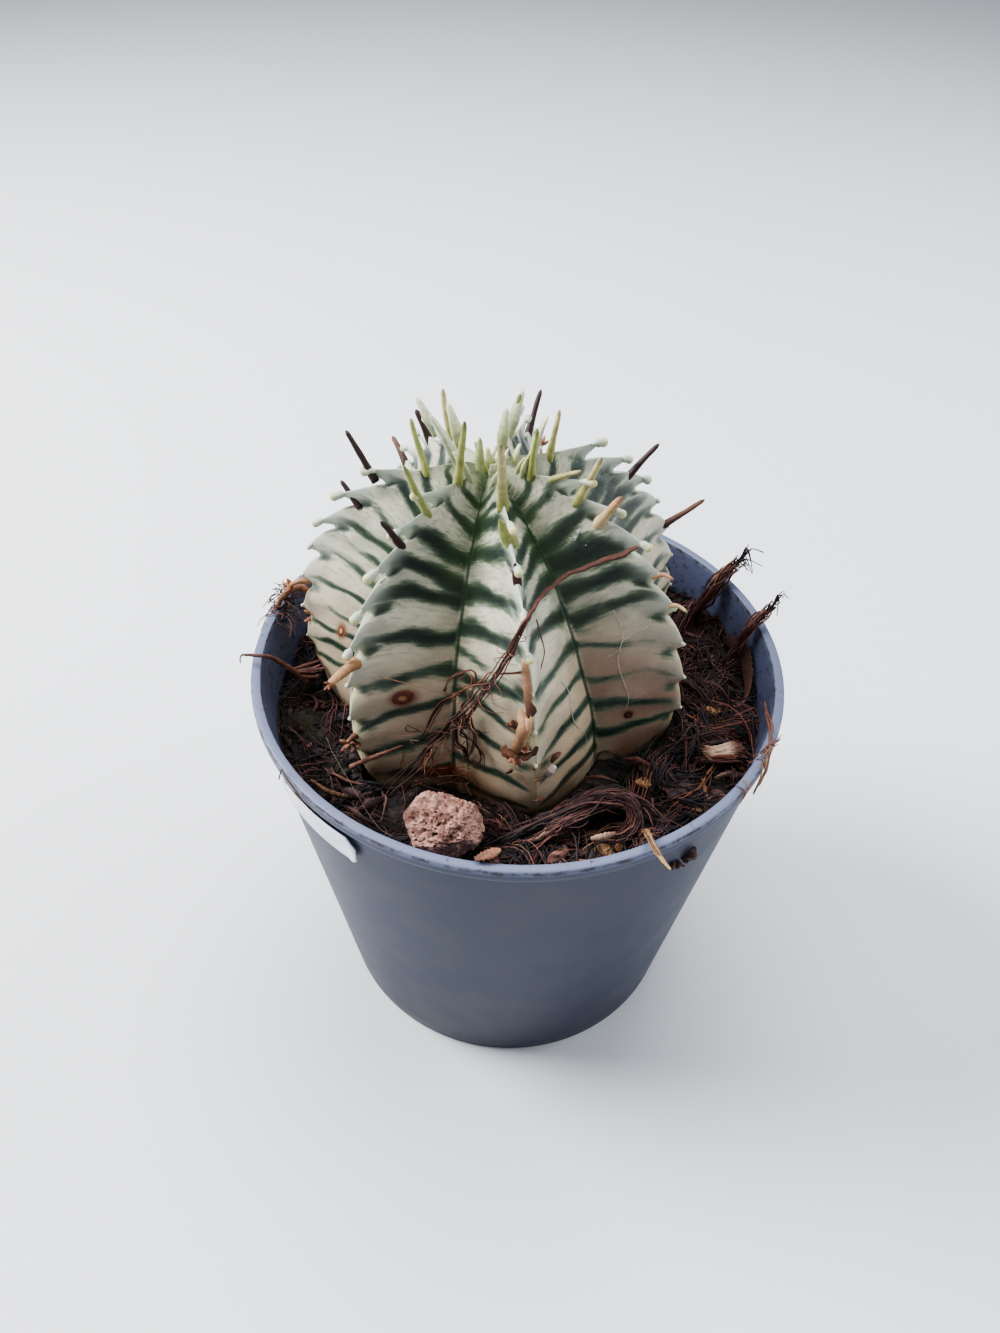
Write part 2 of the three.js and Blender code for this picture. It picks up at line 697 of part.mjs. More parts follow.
const finishes = {
  pot: [0x5f6b86, 0.55],
  pot_label: [0xe9e9ee, 0.6],
  soil: [0x2a1f19, 0.95],
  spurge: [0xb9bd9c, 0.5],
  stone: [0xa98573, 0.9],
  bark_chip: [0xc9b199, 0.85],
  coir_strand: [0x4c2f22, 0.85],
  coir_bundle: [0x53362a, 0.9],
  straw: [0xc4a47a, 0.8],
  left_twig: [0x8a6246, 0.85],
  front_stick: [0x8f6b4e, 0.85],
  back_stick: [0x5d3f2c, 0.9],
  side_stick: [0x4a3226, 0.9],
};

const part = new THREE.Group();
function addPiece(name, solid) {
  const [color, roughness] = finishes[name];
  const material = new THREE.MeshStandardMaterial({ color, roughness, metalness: 0 });
  const mesh = new THREE.Mesh(geometryOf(solid), material);
  mesh.name = name;
  part.add(mesh);
}

const litter = looseLitter(0);
const beds = [makeBody(SOIL_TO_PLANT), ...Object.values(looseLitter(CLEARANCE))];
addPiece("pot", makePot());
addPiece("pot_label", makeLabel());
addPiece("soil", makeSoil(beds));
addPiece("spurge", join([makeBody(), ...makeTeeth(), ...makeStalks(), ...makeYoungLeaves()]));
for (const [name, solid] of Object.entries(litter)) addPiece(name, solid);

export default part;
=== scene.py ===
"""A variegated melon spurge in its grey plastic nursery pot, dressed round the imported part.

Lengths are in millimetres in the part's own frame until a piece is finished, which turns them into metres.
"""

import math
import random

import bmesh
import bpy
import numpy as np
from mathutils import Matrix, Vector, noise


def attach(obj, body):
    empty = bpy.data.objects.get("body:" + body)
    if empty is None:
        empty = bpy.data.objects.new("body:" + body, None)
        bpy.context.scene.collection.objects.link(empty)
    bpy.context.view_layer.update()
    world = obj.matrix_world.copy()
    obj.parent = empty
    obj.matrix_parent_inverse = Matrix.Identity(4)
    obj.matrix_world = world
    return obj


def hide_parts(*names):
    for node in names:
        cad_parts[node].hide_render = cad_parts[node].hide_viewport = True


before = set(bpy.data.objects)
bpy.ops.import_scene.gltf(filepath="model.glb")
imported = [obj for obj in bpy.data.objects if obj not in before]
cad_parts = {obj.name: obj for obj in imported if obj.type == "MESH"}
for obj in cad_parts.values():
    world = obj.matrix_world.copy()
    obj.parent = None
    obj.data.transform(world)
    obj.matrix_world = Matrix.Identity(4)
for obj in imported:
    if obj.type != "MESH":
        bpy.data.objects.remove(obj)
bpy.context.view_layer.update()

MM = 0.001
FULL_TURN = 6.28
draw = random.Random(23)
noise.seed_set(23)

# Sizes and routes, most of them shared with the part's source

POT_HEIGHT = 47.1
RIM_OUTER_RADIUS = 27.5
RIM_INNER_RADIUS = 26.48
LIP_HEIGHT = 1.5
LIP_OVERHANG = 0.45
FOOT_RADIUS = 20.9
FOOT_RING_WIDTH = 3
FOOT_RECESS = 0.6
FLOOR_TOP = 1.6
WALL_THICKNESS = 0.75
DRAIN_COUNT = 6
DRAIN_RADIUS = 1.8
DRAIN_CIRCLE_RADIUS = 13.5
SHARP_EDGE = 40

LABEL_AZIMUTHS = (-143, -121)
LABEL_HEIGHTS = (40.9, 44.8)

RIB_COUNT = 7
RIB_TURN = 360 / RIB_COUNT
FRONT_RIB_AZIMUTH = -77.9
PLANT_PIVOT = np.array([-1.43, 2.67, 35.0])
LEAN_ABOUT_X = -3.64
LEAN_ABOUT_Y = -3.51
# Radius, power, height and rise of the curve along a ridge, and along a valley
RIDGE = (20.42, 0.88, 46.73, 20.56)
VALLEY = (16.42, 1.56, 39.46, 27.21)
VALLEY_SHARE = 0.82
FACE_BULGE = 0.8
GROWING_POINT_HEIGHT = 66.4
TAPROOT = ((11, 25.5), (6.5, 20.5), (3.5, 14.5), (1.6, 9.5))
TAPROOT_TIP = 8.5
FIRST_TOOTH = (22, 19, 24, 20, 21, 25, 17)
TOOTH_PITCH = 11
LAST_TOOTH = 96

SOIL_LEVEL = 41.1
SOIL_SLOPE = 0.02
MOUND_X, MOUND_Y, MOUND_HEIGHT, MOUND_SPREAD = 14, -8, 1.1, 7
SOIL_WAVES = 6
SOIL_WAVE_HEIGHT = 0.22
SOIL_WAVE_LENGTHS = (3.2, 7.7)
SOIL_SEED, SEED_FACTOR, SEED_RANGE = 7, 16807, 2147483647

STONE_CENTRE = (-6.3, -20.35, 43.7)
STONE_HALF = (3.7, 2.95, 2.7)
STONE_CUTS = (
    (0.9, -0.2, 0.45), (-0.35, -0.5, 0.8), (-0.95, -0.3, -0.1), (0.25, 0.3, 0.95), (0.5, -0.95, -0.2)
)
BARK_CENTRE = (21.2, -9.2, 43.1)
BARK_HALF = (2.3, 1.25, 0.85)
STRAND_ROUTE = [
    (10.5, -3.4, 63.9), (8, -4.1, 63.1), (5.9, -4.9, 62.6), (4.1, -5.8, 62.2), (2.8, -7.2, 62),
    (1.5, -10.4, 63), (0.4, -13.5, 63), (-0.4, -13.9, 60.9), (-1.7, -14, 57.9), (-2.8, -13.9, 55.5),
    (-4.3, -13.9, 53), (-5.8, -13.7, 50.6), (-7.5, -14, 48), (-8.5, -14.2, 46), (-9.9, -14.8, 44.2),
    (-11, -15.3, 42.9), (-11.8, -16, 41.9),
]
BUNDLE_ROUTE = [
    (-1.6, -21.1, 41.6), (1.8, -19.2, 42.5), (4.8, -18, 43.3), (7.5, -16.9, 44), (9.6, -16.4, 44.2),
    (11.2, -16.9, 43.9), (11.7, -18, 43.2), (10.9, -19.1, 42.6), (9.4, -19.6, 42.1),
]
BUNDLE_SIDE_ROUTES = [
    [(0.4, -21.4, 41.8), (3.6, -19.9, 42.9), (7.4, -18.1, 43.8), (10, -17.1, 43.9)],
    [(2.4, -18.4, 42.5), (5.6, -17.3, 43.6), (9, -16, 44.3), (12.4, -16.4, 43.5), (14.6, -18.3, 42.7)],
]
# Each row: thickness, tone, route
ROOT_HAIRS = [
    (0.06, "dark", [(-6.7, -10.8, 52.1), (-6.2, -10.3, 53.2), (-5.5, -10.4, 54.1), (-3.9, -11.4, 55.5),
        (-3.7, -12.2, 54.6), (-5, -12.5, 51.6)]),
    (0.045, "red", [(-6.2, -10.8, 51.5), (-3.3, -12.3, 55), (-2.5, -12.4, 56.3), (-1.5, -13, 57.1)]),
    (0.06, "dark", [(0.7, -13.9, 58.2), (-2.2, -12.9, 56.6)]),
    (0.035, "tan", [(-12.6, -11.1, 54), (-6.9, -10.8, 51.9), (-5.7, -11.1, 51.5), (-5.2, -12.2, 51.7)]),
    (0.04, "red", [(-5.3, -10.7, 53.6), (-4.5, -11, 54.6), (-4, -11.6, 54.6), (-4.3, -11.7, 53.9),
        (-5.6, -10.7, 52.7)]),
    (0.08, "dark", [(-5.2, -11.2, 52.5), (-7, -11.3, 50.8), (-8.7, -12.6, 47.8)]),
    (0.035, "red", [(-8.7, -12.5, 48.1), (-10.1, -12.5, 49), (-10.1, -12.7, 48.4), (-8.7, -12.5, 48.2)]),
    (0.11, "black", [(-5.5, -12.3, 50.2), (-5.4, -12.9, 47.6), (-4.6, -13.5, 47.3), (-4.4, -13.7, 46.2)]),
    (0.08, "black", [(-4.7, -12.7, 51.6), (-4.5, -13, 50.3), (-4.9, -13, 49), (-3.8, -13.9, 48.8),
        (-2.8, -14.6, 47.7)]),
    (0.06, "dark", [(-4.2, -13, 51.6), (-3.7, -14, 49), (-4.3, -13.9, 46), (-3.6, -14.3, 46.4)]),
    (0.05, "dark", [(-3.7, -13.9, 48.9), (-3.2, -14.4, 48.3), (-3, -14.6, 47.2), (-3.3, -14.6, 46.5),
        (-3.9, -14.1, 46.4)]),
    (0.035, "red", [(-3.4, -14.1, 48.5), (-2.8, -14.6, 48.1), (-2.6, -15, 46.2)]),
    (0.035, "red", [(-4.4, -13.3, 49), (-4.2, -14.1, 44.6)]),
    (0.06, "dark", [(-3, -13, 54.4), (-5.1, -12.9, 48.8)]),
    (0.05, "dark", [(-5.2, -12.4, 51), (-4.8, -12.7, 50.7), (-5, -12.8, 49.9), (-4.5, -13.2, 49.7),
        (-3.9, -13.4, 50.7)]),
    (0.04, "red", [(-7.8, -13.1, 46.4), (-7.7, -13.3, 43.7), (-8.2, -13.5, 42.7)]),
    (0.035, "red", [(-6.1, -12.7, 45.9), (-9.5, -13.6, 41.9)]),
    (0.05, "rust", [(-5.7, -13.1, 43.2), (-4.6, -13.9, 44.4), (-3.7, -14.5, 44.4), (-2.9, -15, 42.8)]),
    (0.045, "rust", [(-5.4, -13.4, 42.7), (-4.5, -14, 44), (-4.1, -14.3, 43.4), (-4.6, -14, 42.4),
        (-5.3, -13.4, 42.3)]),
    (0.035, "tan", [(-6.2, -13.3, 41.9), (-4.6, -14, 42.6), (-3.9, -14.4, 43.7)]),
    (0.035, "tan", [(-4.6, -14, 42.9), (-3.8, -14.9, 41.8)]),
    (0.04, "red", [(-10.5, -13.1, 45.8), (-10.9, -13.4, 43.7)]),
]
STRAW_ROUTE = [
    (11.9, -20.6, 43.9), (12, -22.1, 46.8), (12.1, -24, 48.3), (12.8, -25.8, 48.3), (13.6, -27.3, 48.4)
]
TWIG_ROUTE = [
    (-28.1, -3.3, 48.1), (-26.9, -3.4, 48.2), (-25.6, -3.2, 48), (-24.1, -2.4, 46), (-22.4, -1.3, 42.6)
]
FRONT_STICK_ROUTE = [(-19.4, -15.6, 43.7), (-17.4, -16.2, 42.6), (-15.1, -16, 42), (-13.6, -15.2, 41.6)]
# Each row: number of strands, and their course as radius, azimuth and height
RIM_FIBRES = [
    (7, [(25.7, -10, 45.3), (26.5, -20, 47.0), (27.0, -24.7, 47.3), (27.4, -28, 47.35), (27.8, -31.5, 46.7)]),
    (5, [(26.8, -24.6, 47.3), (27.3, -27.5, 47.35), (27.75, -30, 46.9), (27.8, -32.2, 45.8)]),
    (4, [(27.1, -31, 47.3), (27.75, -33, 46.8), (27.7, -34.5, 45.2)]),
    (4, [(26.0, -29, 46.4), (26.8, -27, 47.3), (27.4, -24, 47.3), (27.75, -21.5, 46.4)]),
    (2, [(26.6, -38, 47.2), (27.5, -39.5, 47.2), (27.7, -40.5, 46.4)]),
]
# Each row: route, radii along it, colour at its start and end, flatness
SOIL_SCRAPS = [
    ([(16.1, -2.8, 42.2), (14.9, -6.1, 42.5), (13.0, -9.9, 42.6), (10.9, -13.1, 42.1)],
        (0.12, 0.14, 0.12, 0.08), "3a3826", "2c2a1e", 1.0),
    ([(17.8, -1.9, 41.9), (17.5, -6.2, 42.7), (17.3, -9.2, 42.9), (17.2, -11.5, 42.1)],
        (0.2, 0.34, 0.3, 0.16), "4a2c26", "6b4038", 0.4),
    ([(18.9, -3.0, 42.0), (18.6, -6.4, 42.9), (18.8, -9.8, 42.2)], (0.12, 0.2, 0.1), "6b4038", "4a2c26", 0.5),
    ([(23.3, 9.0, 42.0), (24.6, 5.4, 44.0), (25.0, 1.6, 43.0), (24.4, -1.2, 42.0)],
        (0.3, 1.15, 0.9, 0.2), "3d2723", "5e3c33", 0.07),
    ([(18.5, -6.2, 42.3), (20.5, -6.1, 43.2), (23.1, -5.3, 43.4), (24.9, -4.0, 42.5)],
        (0.07, 0.1, 0.06), "8a5444", "7a4638", 1.0),
    ([(20.4, -1.0, 42.3), (22.6, -3.4, 43.6), (24.0, -6.4, 43.4), (24.2, -9.2, 42.6)],
        (0.05, 0.07, 0.05), "9a6450", "7a4638", 1.0),
    ([(10.8, -9.9, 42.4), (12.5, -11.3, 43.7), (14.0, -12.1, 43.3), (14.9, -12.4, 42.2)],
        (0.1, 0.26, 0.3, 0.12), "7a4a3e", "56332c", 0.5),
    ([(7.1, -12.6, 42.3), (8.5, -13.2, 43.2), (10.4, -13.2, 42.5)],
        (0.1, 0.24, 0.1), "7a4a3e", "56332c", 0.5),
    ([(18.9, -14.8, 42.4), (19.7, -14.5, 42.7), (20.6, -14.3, 42.5)],
        (0.15, 0.34, 0.1), "b0917c", "8a6654", 0.3),
    ([(20.0, -11.9, 42.3), (21.1, -11.7, 42.8), (22.2, -11.4, 42.4)],
        (0.15, 0.3, 0.1), "a98a76", "8a6654", 0.3),
    ([(7.6, -20.2, 42.6), (8.7, -20.2, 43.0), (9.9, -19.6, 42.8)], (0.2, 0.44, 0.2), "bda08a", "8f6c58", 0.4),
    ([(-16.4, -15.4, 42.3), (-15.0, -16.6, 43.2), (-13.6, -17.2, 42.6)],
        (0.2, 0.5, 0.2), "3a262b", "4e3531", 0.3),
    ([(-14.6, -18.2, 42.4), (-13.2, -18.0, 43.6), (-12.0, -16.9, 42.9)],
        (0.15, 0.55, 0.25), "4a302c", "2f2024", 0.25),
    ([(-15.6, -17.6, 42.3), (-14.4, -18.9, 43.0), (-12.8, -19.6, 42.5)],
        (0.12, 0.36, 0.12), "5e3d33", "3a262b", 0.4),
    ([(-12.6, -15.6, 42.4), (-11.9, -17.4, 43.3), (-12.2, -19.2, 42.5)],
        (0.1, 0.3, 0.1), "33231f", "5e3d33", 0.5),
    ([(2.2, -20.6, 42.6), (3.4, -20.2, 43.0), (4.6, -19.8, 42.7)],
        (0.12, 0.3, 0.12), "b0937e", "7a5848", 0.4),
]
# Crumbs on the pot's outside. Each row: azimuth, height, size
CLINGING_CRUMBS = [
    (-50.8, 41.7, 0.75), (-55.2, 41.5, 0.5), (-53.9, 41.1, 0.55), (-50.6, 39.1, 0.16), (-51.6, 41.2, 0.5),
    (-50.2, 41.4, 0.5),
]
BACK_STICK_ROUTE = [
    (19.5, 12, 42), (20.9, 12.3, 44.6), (22, 12.5, 46.9), (23.3, 13.1, 48.8), (24.6, 13.5, 50.3)
]
SIDE_STICK_ROUTE = [(22.8, 4.6, 42), (23.9, 4.9, 44.8), (24.8, 5.2, 47.2), (26, 5.6, 49), (27.3, 6.1, 50.4)]

# Colours


def linear(hex_colour):
    """A screen colour as the linear colour that a shader takes."""
    parts = [int(hex_colour[i : i + 2], 16) / 255 for i in (0, 2, 4)]
    return tuple(c / 12.92 if c <= 0.04045 else ((c + 0.055) / 1.055) ** 2.4 for c in parts) + (1.0,)


def as_colour(value):
    """A colour as it is, or read from its screen value."""
    return linear(value) if isinstance(value, str) else value


GREEN_STALK = "a3a862"
CREAM_STALK = "cdbd8e"
PINK_STALK = "c8966f"
DARK_STALK = "331715"
RED_STALK = "552420"
TAN_STALK = "b08560"
BROWN_STALK = "6e4631"
LEAF_TIP = "d3d8a8"

COIR_DARK = "241b1e 2e1f22 382522 1c181c 2a222b".split()
COIR_BROWN = "603b37 744a44 51312f 875b50 432e31".split()
COIR_RED = "744236 845042 62362d 95654c".split()
COIR_TAN = "a87c55 bf9870 8f6848".split()
ROOT_TONES = {"dark": "4a261b", "red": "804a34", "tan": "a67e5e", "black": "24120d", "rust": "8c4524"}

# Twigs strewn on the soil. Each row: x, y, length, heading, colour, radius
SOIL_TWIGS = [
    (16.5, -15.5, 4.5, -0.5, COIR_RED[0], 0.26), (14.2, -13.6, 6.5, -0.7, COIR_RED[1], 0.22),
    (19.5, -4.6, 7.5, 0.3, COIR_RED[1], 0.2), (18.8, -11.8, 5.5, -1.4, COIR_RED[3], 0.28),
    (6.4, -22.4, 5, 0.2, COIR_RED[3], 0.26), (3.1, -23.8, 2.6, 1.2, COIR_TAN[0], 0.26),
    (-18.4, -12.6, 5, -0.4, COIR_BROWN[3], 0.2), (22.5, 2.5, 5, 1.4, COIR_BROWN[1], 0.26),
    (20.8, 9, 6, 2.2, COIR_BROWN[3], 0.26), (17, 17.5, 6, 2.4, COIR_BROWN[1], 0.24),
    (-21.4, -4.4, 4.4, 1.1, COIR_BROWN[0], 0.24), (-22.6, 3, 5, 1.5, COIR_BROWN[2], 0.26),
    (-16, 18.6, 6, 0.5, COIR_BROWN[3], 0.26), (2, 24, 6, 0.1, COIR_BROWN[1], 0.24),
    (9, 22.6, 5, -0.3, COIR_BROWN[3], 0.24),
]

# The plant's form


def polar(radius, azimuth, height):
    turn = np.radians(azimuth)
    return np.stack(np.broadcast_arrays(radius * np.cos(turn), radius * np.sin(turn), height), -1)


def lean_matrix():
    about_y = Matrix.Rotation(math.radians(LEAN_ABOUT_Y), 3, "Y")
    return np.array(about_y @ Matrix.Rotation(math.radians(LEAN_ABOUT_X), 3, "X"))


LEAN = lean_matrix()


def leaned(points):
    """Places in the plant's own upright frame, leaned over as the plant stands."""
    return (points - [0, 0, PLANT_PIVOT[2]]) @ LEAN.T + PLANT_PIVOT


def upright(points):
    return (points - PLANT_PIVOT) @ LEAN + [0, 0, PLANT_PIVOT[2]]


def ease(value, low, high):
    """0 below low, 1 above high, and a smooth step between them."""
    share = np.clip((value - low) / (high - low), 0, 1)
    return share * share * (3 - 2 * share)


def bell(away, width):
    """1 where away is 0, and falling off smoothly over the width."""
    return np.exp(-((away / width) ** 2))


def place_on_rib(turn):
    """For turns in ribs: nearest ridge, side of it, share of the way to the valley, and rib."""
    nearest = np.round(turn)
    side = 2 * (turn - nearest)
    return nearest, side, np.abs(side), nearest.astype(int) % RIB_COUNT


def teeth_of(rib):
    return np.arange(FIRST_TOOTH[rib], LAST_TOOTH + 0.1, TOOTH_PITCH)


def each_tooth(rib):
    """Each tooth with its own rib, and which of the places are on that rib."""
    for own in range(RIB_COUNT):
        mine = rib == own
        if mine.any():
            for tooth in teeth_of(own):
                yield mine, own, tooth


def tooth_length(angle, rib):
    """How long a tooth is: long in the upper part of its rib, short lower down."""
    longer = 2.1 / (1 + math.exp((angle - SHORT_BELOW[rib]) / 4))
    return 0.32 + longer + 1.0 * math.exp(-(((angle - 16) / 8) ** 2))


TUBERCLE_LIFT = 0.8
SHORT_BELOW = (57, 47, 50, 52, 52, 54, 64)
CREST_ROUND = 0.06
BEAK_SHARE = 0.7
FOLD_DEPTH = 0.16
BAND_ARCH = 2.4
CREST_NOTCH = 0.35
MM_PER_DEGREE = 0.358
MM_PER_RIB = 18


def tubercle_lift(rib, share, angle):
    """How far the crest swells towards each tooth and sinks back under it."""
    lift = np.zeros(np.shape(angle))
    for mine, _, tooth in each_tooth(rib):
        away = angle[mine] - tooth
        height = ease(away, -9.5, -0.5) * (1 - ease(away, 0.2, 3.0))
        swell = TUBERCLE_LIFT * height * bell(share[mine], 0.17 + 0.2 * ease(-away, 0, 8))
        notch = CREST_NOTCH * bell(away - 3.4, 1.7) * bell(share[mine], 0.22)
        lift[mine] += (1 - 0.6 * ease(tooth, 62, 92)) * (swell - notch)
    return lift


def face_width(angle):
    """The distance in millimetres from a ridge to the valley beside it."""
    return 9.3 * np.sin(np.radians(np.clip(angle, 6, 110))) ** 0.43


def beak_shape(rib, share, angle):
    """How far the crest is drawn out along each tooth, and how much of it is the beak's own tip."""
    reach, pointing, tip = (np.zeros(np.shape(angle)) for _ in range(3))
    for mine, own, tooth in each_tooth(rib):
        along = (angle[mine] - tooth) * MM_PER_DEGREE
        beside = share[mine] * face_width(angle[mine])
        body = ease(along, -2.8, -0.05) ** 1.5 * (1 - ease(along, 0.1, 0.8))
        body = body * bell(beside, 0.7 + 0.7 * ease(-along, 0, 3))
        finger = 1 - ease(np.hypot(beside / 0.62, along / 0.56), 0.36, 1.4)
        whole = tooth_length(tooth, own)
        drawn = BEAK_SHARE * whole * (0.24 * body + 0.64 * finger)
        more = drawn > reach[mine]
        reach[mine] = np.where(more, drawn, reach[mine])
        pointing[mine] = np.where(more, beak_angle(tooth), pointing[mine])
        tip[mine] = np.maximum(tip[mine], finger * min(1, whole / 2))
    return reach, pointing, tip


def beak_angle(tooth):
    """The angle from the plant's axis at which a tooth points."""
    return min(125, 45 + 1.5 * tooth)


def band_run(angle):
    """How many degrees lower a band is at the valley than at the ridge. Low down it is higher there."""
    return np.interp(angle, (18, 32, 45, 60, 76, 92), (19, 17, 9, 5, -2, -7))


def band_flow(share, angle):
    """The angle read along the bands, which arch upward between a ridge and its valley."""
    return angle - band_run(angle - 8 * share) * share + BAND_ARCH * np.sin(math.pi * share**0.8)


def skin(turn, angle, grow=0.0):
    """The skin at a turn in ribs (whole at ridges, half at valleys) and an angle from the growing point."""
    turn, angle = np.broadcast_arrays(np.asarray(turn, float), np.asarray(angle, float))
    nearest, side, share, rib = place_on_rib(turn)
    ridge_azimuth = FRONT_RIB_AZIMUTH + nearest * RIB_TURN
    valley_azimuth = ridge_azimuth + np.sign(side) * RIB_TURN / 2
    sine, cosine = np.sin(np.radians(angle)), np.cos(np.radians(angle))
    low = np.radians(angle * VALLEY_SHARE)
    ridge = polar(RIDGE[0] * sine ** RIDGE[1], ridge_azimuth, RIDGE[2] + RIDGE[3] * cosine)
    valley = polar(VALLEY[0] * np.sin(low) ** VALLEY[1], valley_azimuth, VALLEY[2] + VALLEY[3] * np.cos(low))
    whole = math.sqrt(1 + CREST_ROUND**2) - CREST_ROUND
    rounded = (np.sqrt(share**2 + CREST_ROUND**2) - CREST_ROUND) / whole
    point = ridge + (valley - ridge) * rounded[..., None]
    azimuth = ridge_azimuth + side * RIB_TURN / 4
    outward = polar(sine, azimuth, cosine)
    bulge = FACE_BULGE * 4 * share * (1 - share) * sine
    flow = band_flow(share, angle) - np.array(FIRST_TOOTH)[rib]
    folds = np.cos(2 * math.pi * (flow + 2) / TOOTH_PITCH) * ease(angle, 12, 25)
    fold = FOLD_DEPTH * folds * ease(share, 0.05, 0.3) * (1 - share)
    point = point + outward * (bulge + fold + tubercle_lift(rib, share, angle))[..., None]
    reach, pointing, _ = beak_shape(rib, share, angle)
    drawn = polar(np.sin(np.radians(pointing)), ridge_azimuth, np.cos(np.radians(pointing)))
    return leaned(point + drawn * reach[..., None] + polar(1, azimuth, 0) * np.asarray(grow)[..., None])


def ridge_frame(turn):
    """Directions at a turn in ribs: outward, sideways and up, leaned with the plant."""
    azimuth = FRONT_RIB_AZIMUTH + turn * RIB_TURN
    upward = np.array([0, 0, 1.0])
    return [way @ LEAN.T for way in (polar(1, azimuth, 0), polar(1, azimuth + 90, 0), upward)]


def ridge_direction(turn, from_axis, sideways):
    outward, across, up = ridge_frame(turn)
    direction = outward * math.sin(math.radians(from_axis)) + up * math.cos(math.radians(from_axis))
    direction = direction + across * math.tan(math.radians(sideways))
    return direction / np.linalg.norm(direction)


# The pot's and the soil's form


def pot_wall_radius(height):
    top = RIM_OUTER_RADIUS - LIP_OVERHANG
    return FOOT_RADIUS + (top - FOOT_RADIUS) * height / (POT_HEIGHT - LIP_HEIGHT)


def pot_inner_radius(height):
    low = pot_wall_radius(FLOOR_TOP) - WALL_THICKNESS
    return low + (RIM_INNER_RADIUS - low) * (height - FLOOR_TOP) / (POT_HEIGHT - FLOOR_TOP)


def soil_waves():
    """The same long ripples as the packed soil has, from the same plain random numbers."""
    state, numbers = SOIL_SEED, []
    for _ in range(3 * SOIL_WAVES):
        state = state * SEED_FACTOR % SEED_RANGE
        numbers.append(state / SEED_RANGE)
    waves = []
    for direction, length, phase in zip(numbers[::3], numbers[1::3], numbers[2::3]):
        steepness = 2 * math.pi / np.interp(length, (0, 1), SOIL_WAVE_LENGTHS)
        heading = direction * math.pi
        waves.append((steepness * math.cos(heading), steepness * math.sin(heading), 2 * math.pi * phase))
    return waves


WAVES = soil_waves()


def soil_top(x, y):
    ripple = sum(np.sin(u * x + v * y + phase) for u, v, phase in WAVES)
    away = ((x - MOUND_X) ** 2 + (y - MOUND_Y) ** 2) / MOUND_SPREAD**2
    return SOIL_LEVEL + SOIL_SLOPE * x + MOUND_HEIGHT * np.exp(-away) + SOIL_WAVE_HEIGHT * ripple


GIRTH_STEPS = 140
LITTER_HEIGHT, LITTER_RADIUS, LITTER_REACH = 42, 25.6, 28.0


def plant_girth():
    """The plant's largest radius about its own axis between the soil and the litter's top, by azimuth."""
    turns = np.linspace(0, RIB_COUNT, GIRTH_STEPS, endpoint=False)
    around = upright(skin(turns[:, None], np.linspace(92, 108, 9)[None, :]))
    return np.hypot(around[..., 0], around[..., 1]).max(1)


GIRTH = plant_girth()


def girth_towards(here):
    """The plant's girth on the side of places that are given in its own upright frame."""
    azimuth = np.degrees(np.arctan2(here[..., 1], here[..., 0]))
    turn = ((azimuth - FRONT_RIB_AZIMUTH) / RIB_TURN) % RIB_COUNT
    return GIRTH[(turn / RIB_COUNT * GIRTH_STEPS).astype(int) % GIRTH_STEPS]


def clear_of_plant(x, y, gap):
    """The place on the soil, moved outward if it is in the plant or nearer to it than gap."""
    here = upright(np.array([[x, y, LITTER_HEIGHT]]))[0]
    radius, least = math.hypot(here[0], here[1]), girth_towards(here) + gap
    if radius >= least:
        return x, y
    here[:2] *= least / max(radius, 0.01)
    return leaned(here[None, :])[0][:2]


def clear_of_wall(x, y, z, gap):
    radius = math.hypot(x, y)
    most = pot_inner_radius(z) - gap
    return (x, y) if radius <= most or z > POT_HEIGHT else (x * most / radius, y * most / radius)


# Making meshes

TINT = "tint"


def mesh_from(bm, name, tinted=False):
    """The shape as a mesh, which can carry a tint at each vertex."""
    mesh = bpy.data.meshes.new(name)
    bm.to_mesh(mesh)
    bm.free()
    if tinted:
        mesh.attributes.new(TINT, "FLOAT_COLOR", "POINT")
    return mesh


def set_tints(mesh, tints):
    mesh.attributes[TINT].data.foreach_set("color", np.asarray(tints, np.float32).ravel())


def places_in(mesh):
    flat = np.zeros(len(mesh.vertices) * 3, np.float32)
    mesh.vertices.foreach_get("co", flat)
    return flat.reshape(-1, 3).astype(float)


def add_moved(bm, mesh, places, tints):
    """Adds the mesh to the shape, with its vertices at these places and in these tints."""
    mesh.vertices.foreach_set("co", places.astype(np.float32).ravel())
    set_tints(mesh, tints)
    bm.from_mesh(mesh)


def new_object(name, data):
    made = bpy.data.objects.new(name, data)
    bpy.context.scene.collection.objects.link(made)
    return made


def rod_template(sides, steps):
    """A rod of radius 1 from height 0 to 1 in so many steps, with a point in the middle of each end."""
    bm = bmesh.new()
    bmesh.ops.create_cone(bm, cap_ends=True, cap_tris=True, segments=sides, radius1=1, radius2=1, depth=1)
    upright_edges = [e for e in bm.edges if abs(e.verts[0].co.z - e.verts[1].co.z) > 0.5]
    if steps > 1:
        bmesh.ops.subdivide_edges(bm, edges=upright_edges, cuts=steps - 1)
    bmesh.ops.translate(bm, verts=bm.verts, vec=(0, 0, 0.5))
    mesh = mesh_from(bm, "rod", tinted=True)
    place = places_in(mesh)
    ring = np.round(place[:, 2] * steps).astype(int)
    return {"mesh": mesh, "place": place, "ring": ring, "count": steps + 1}


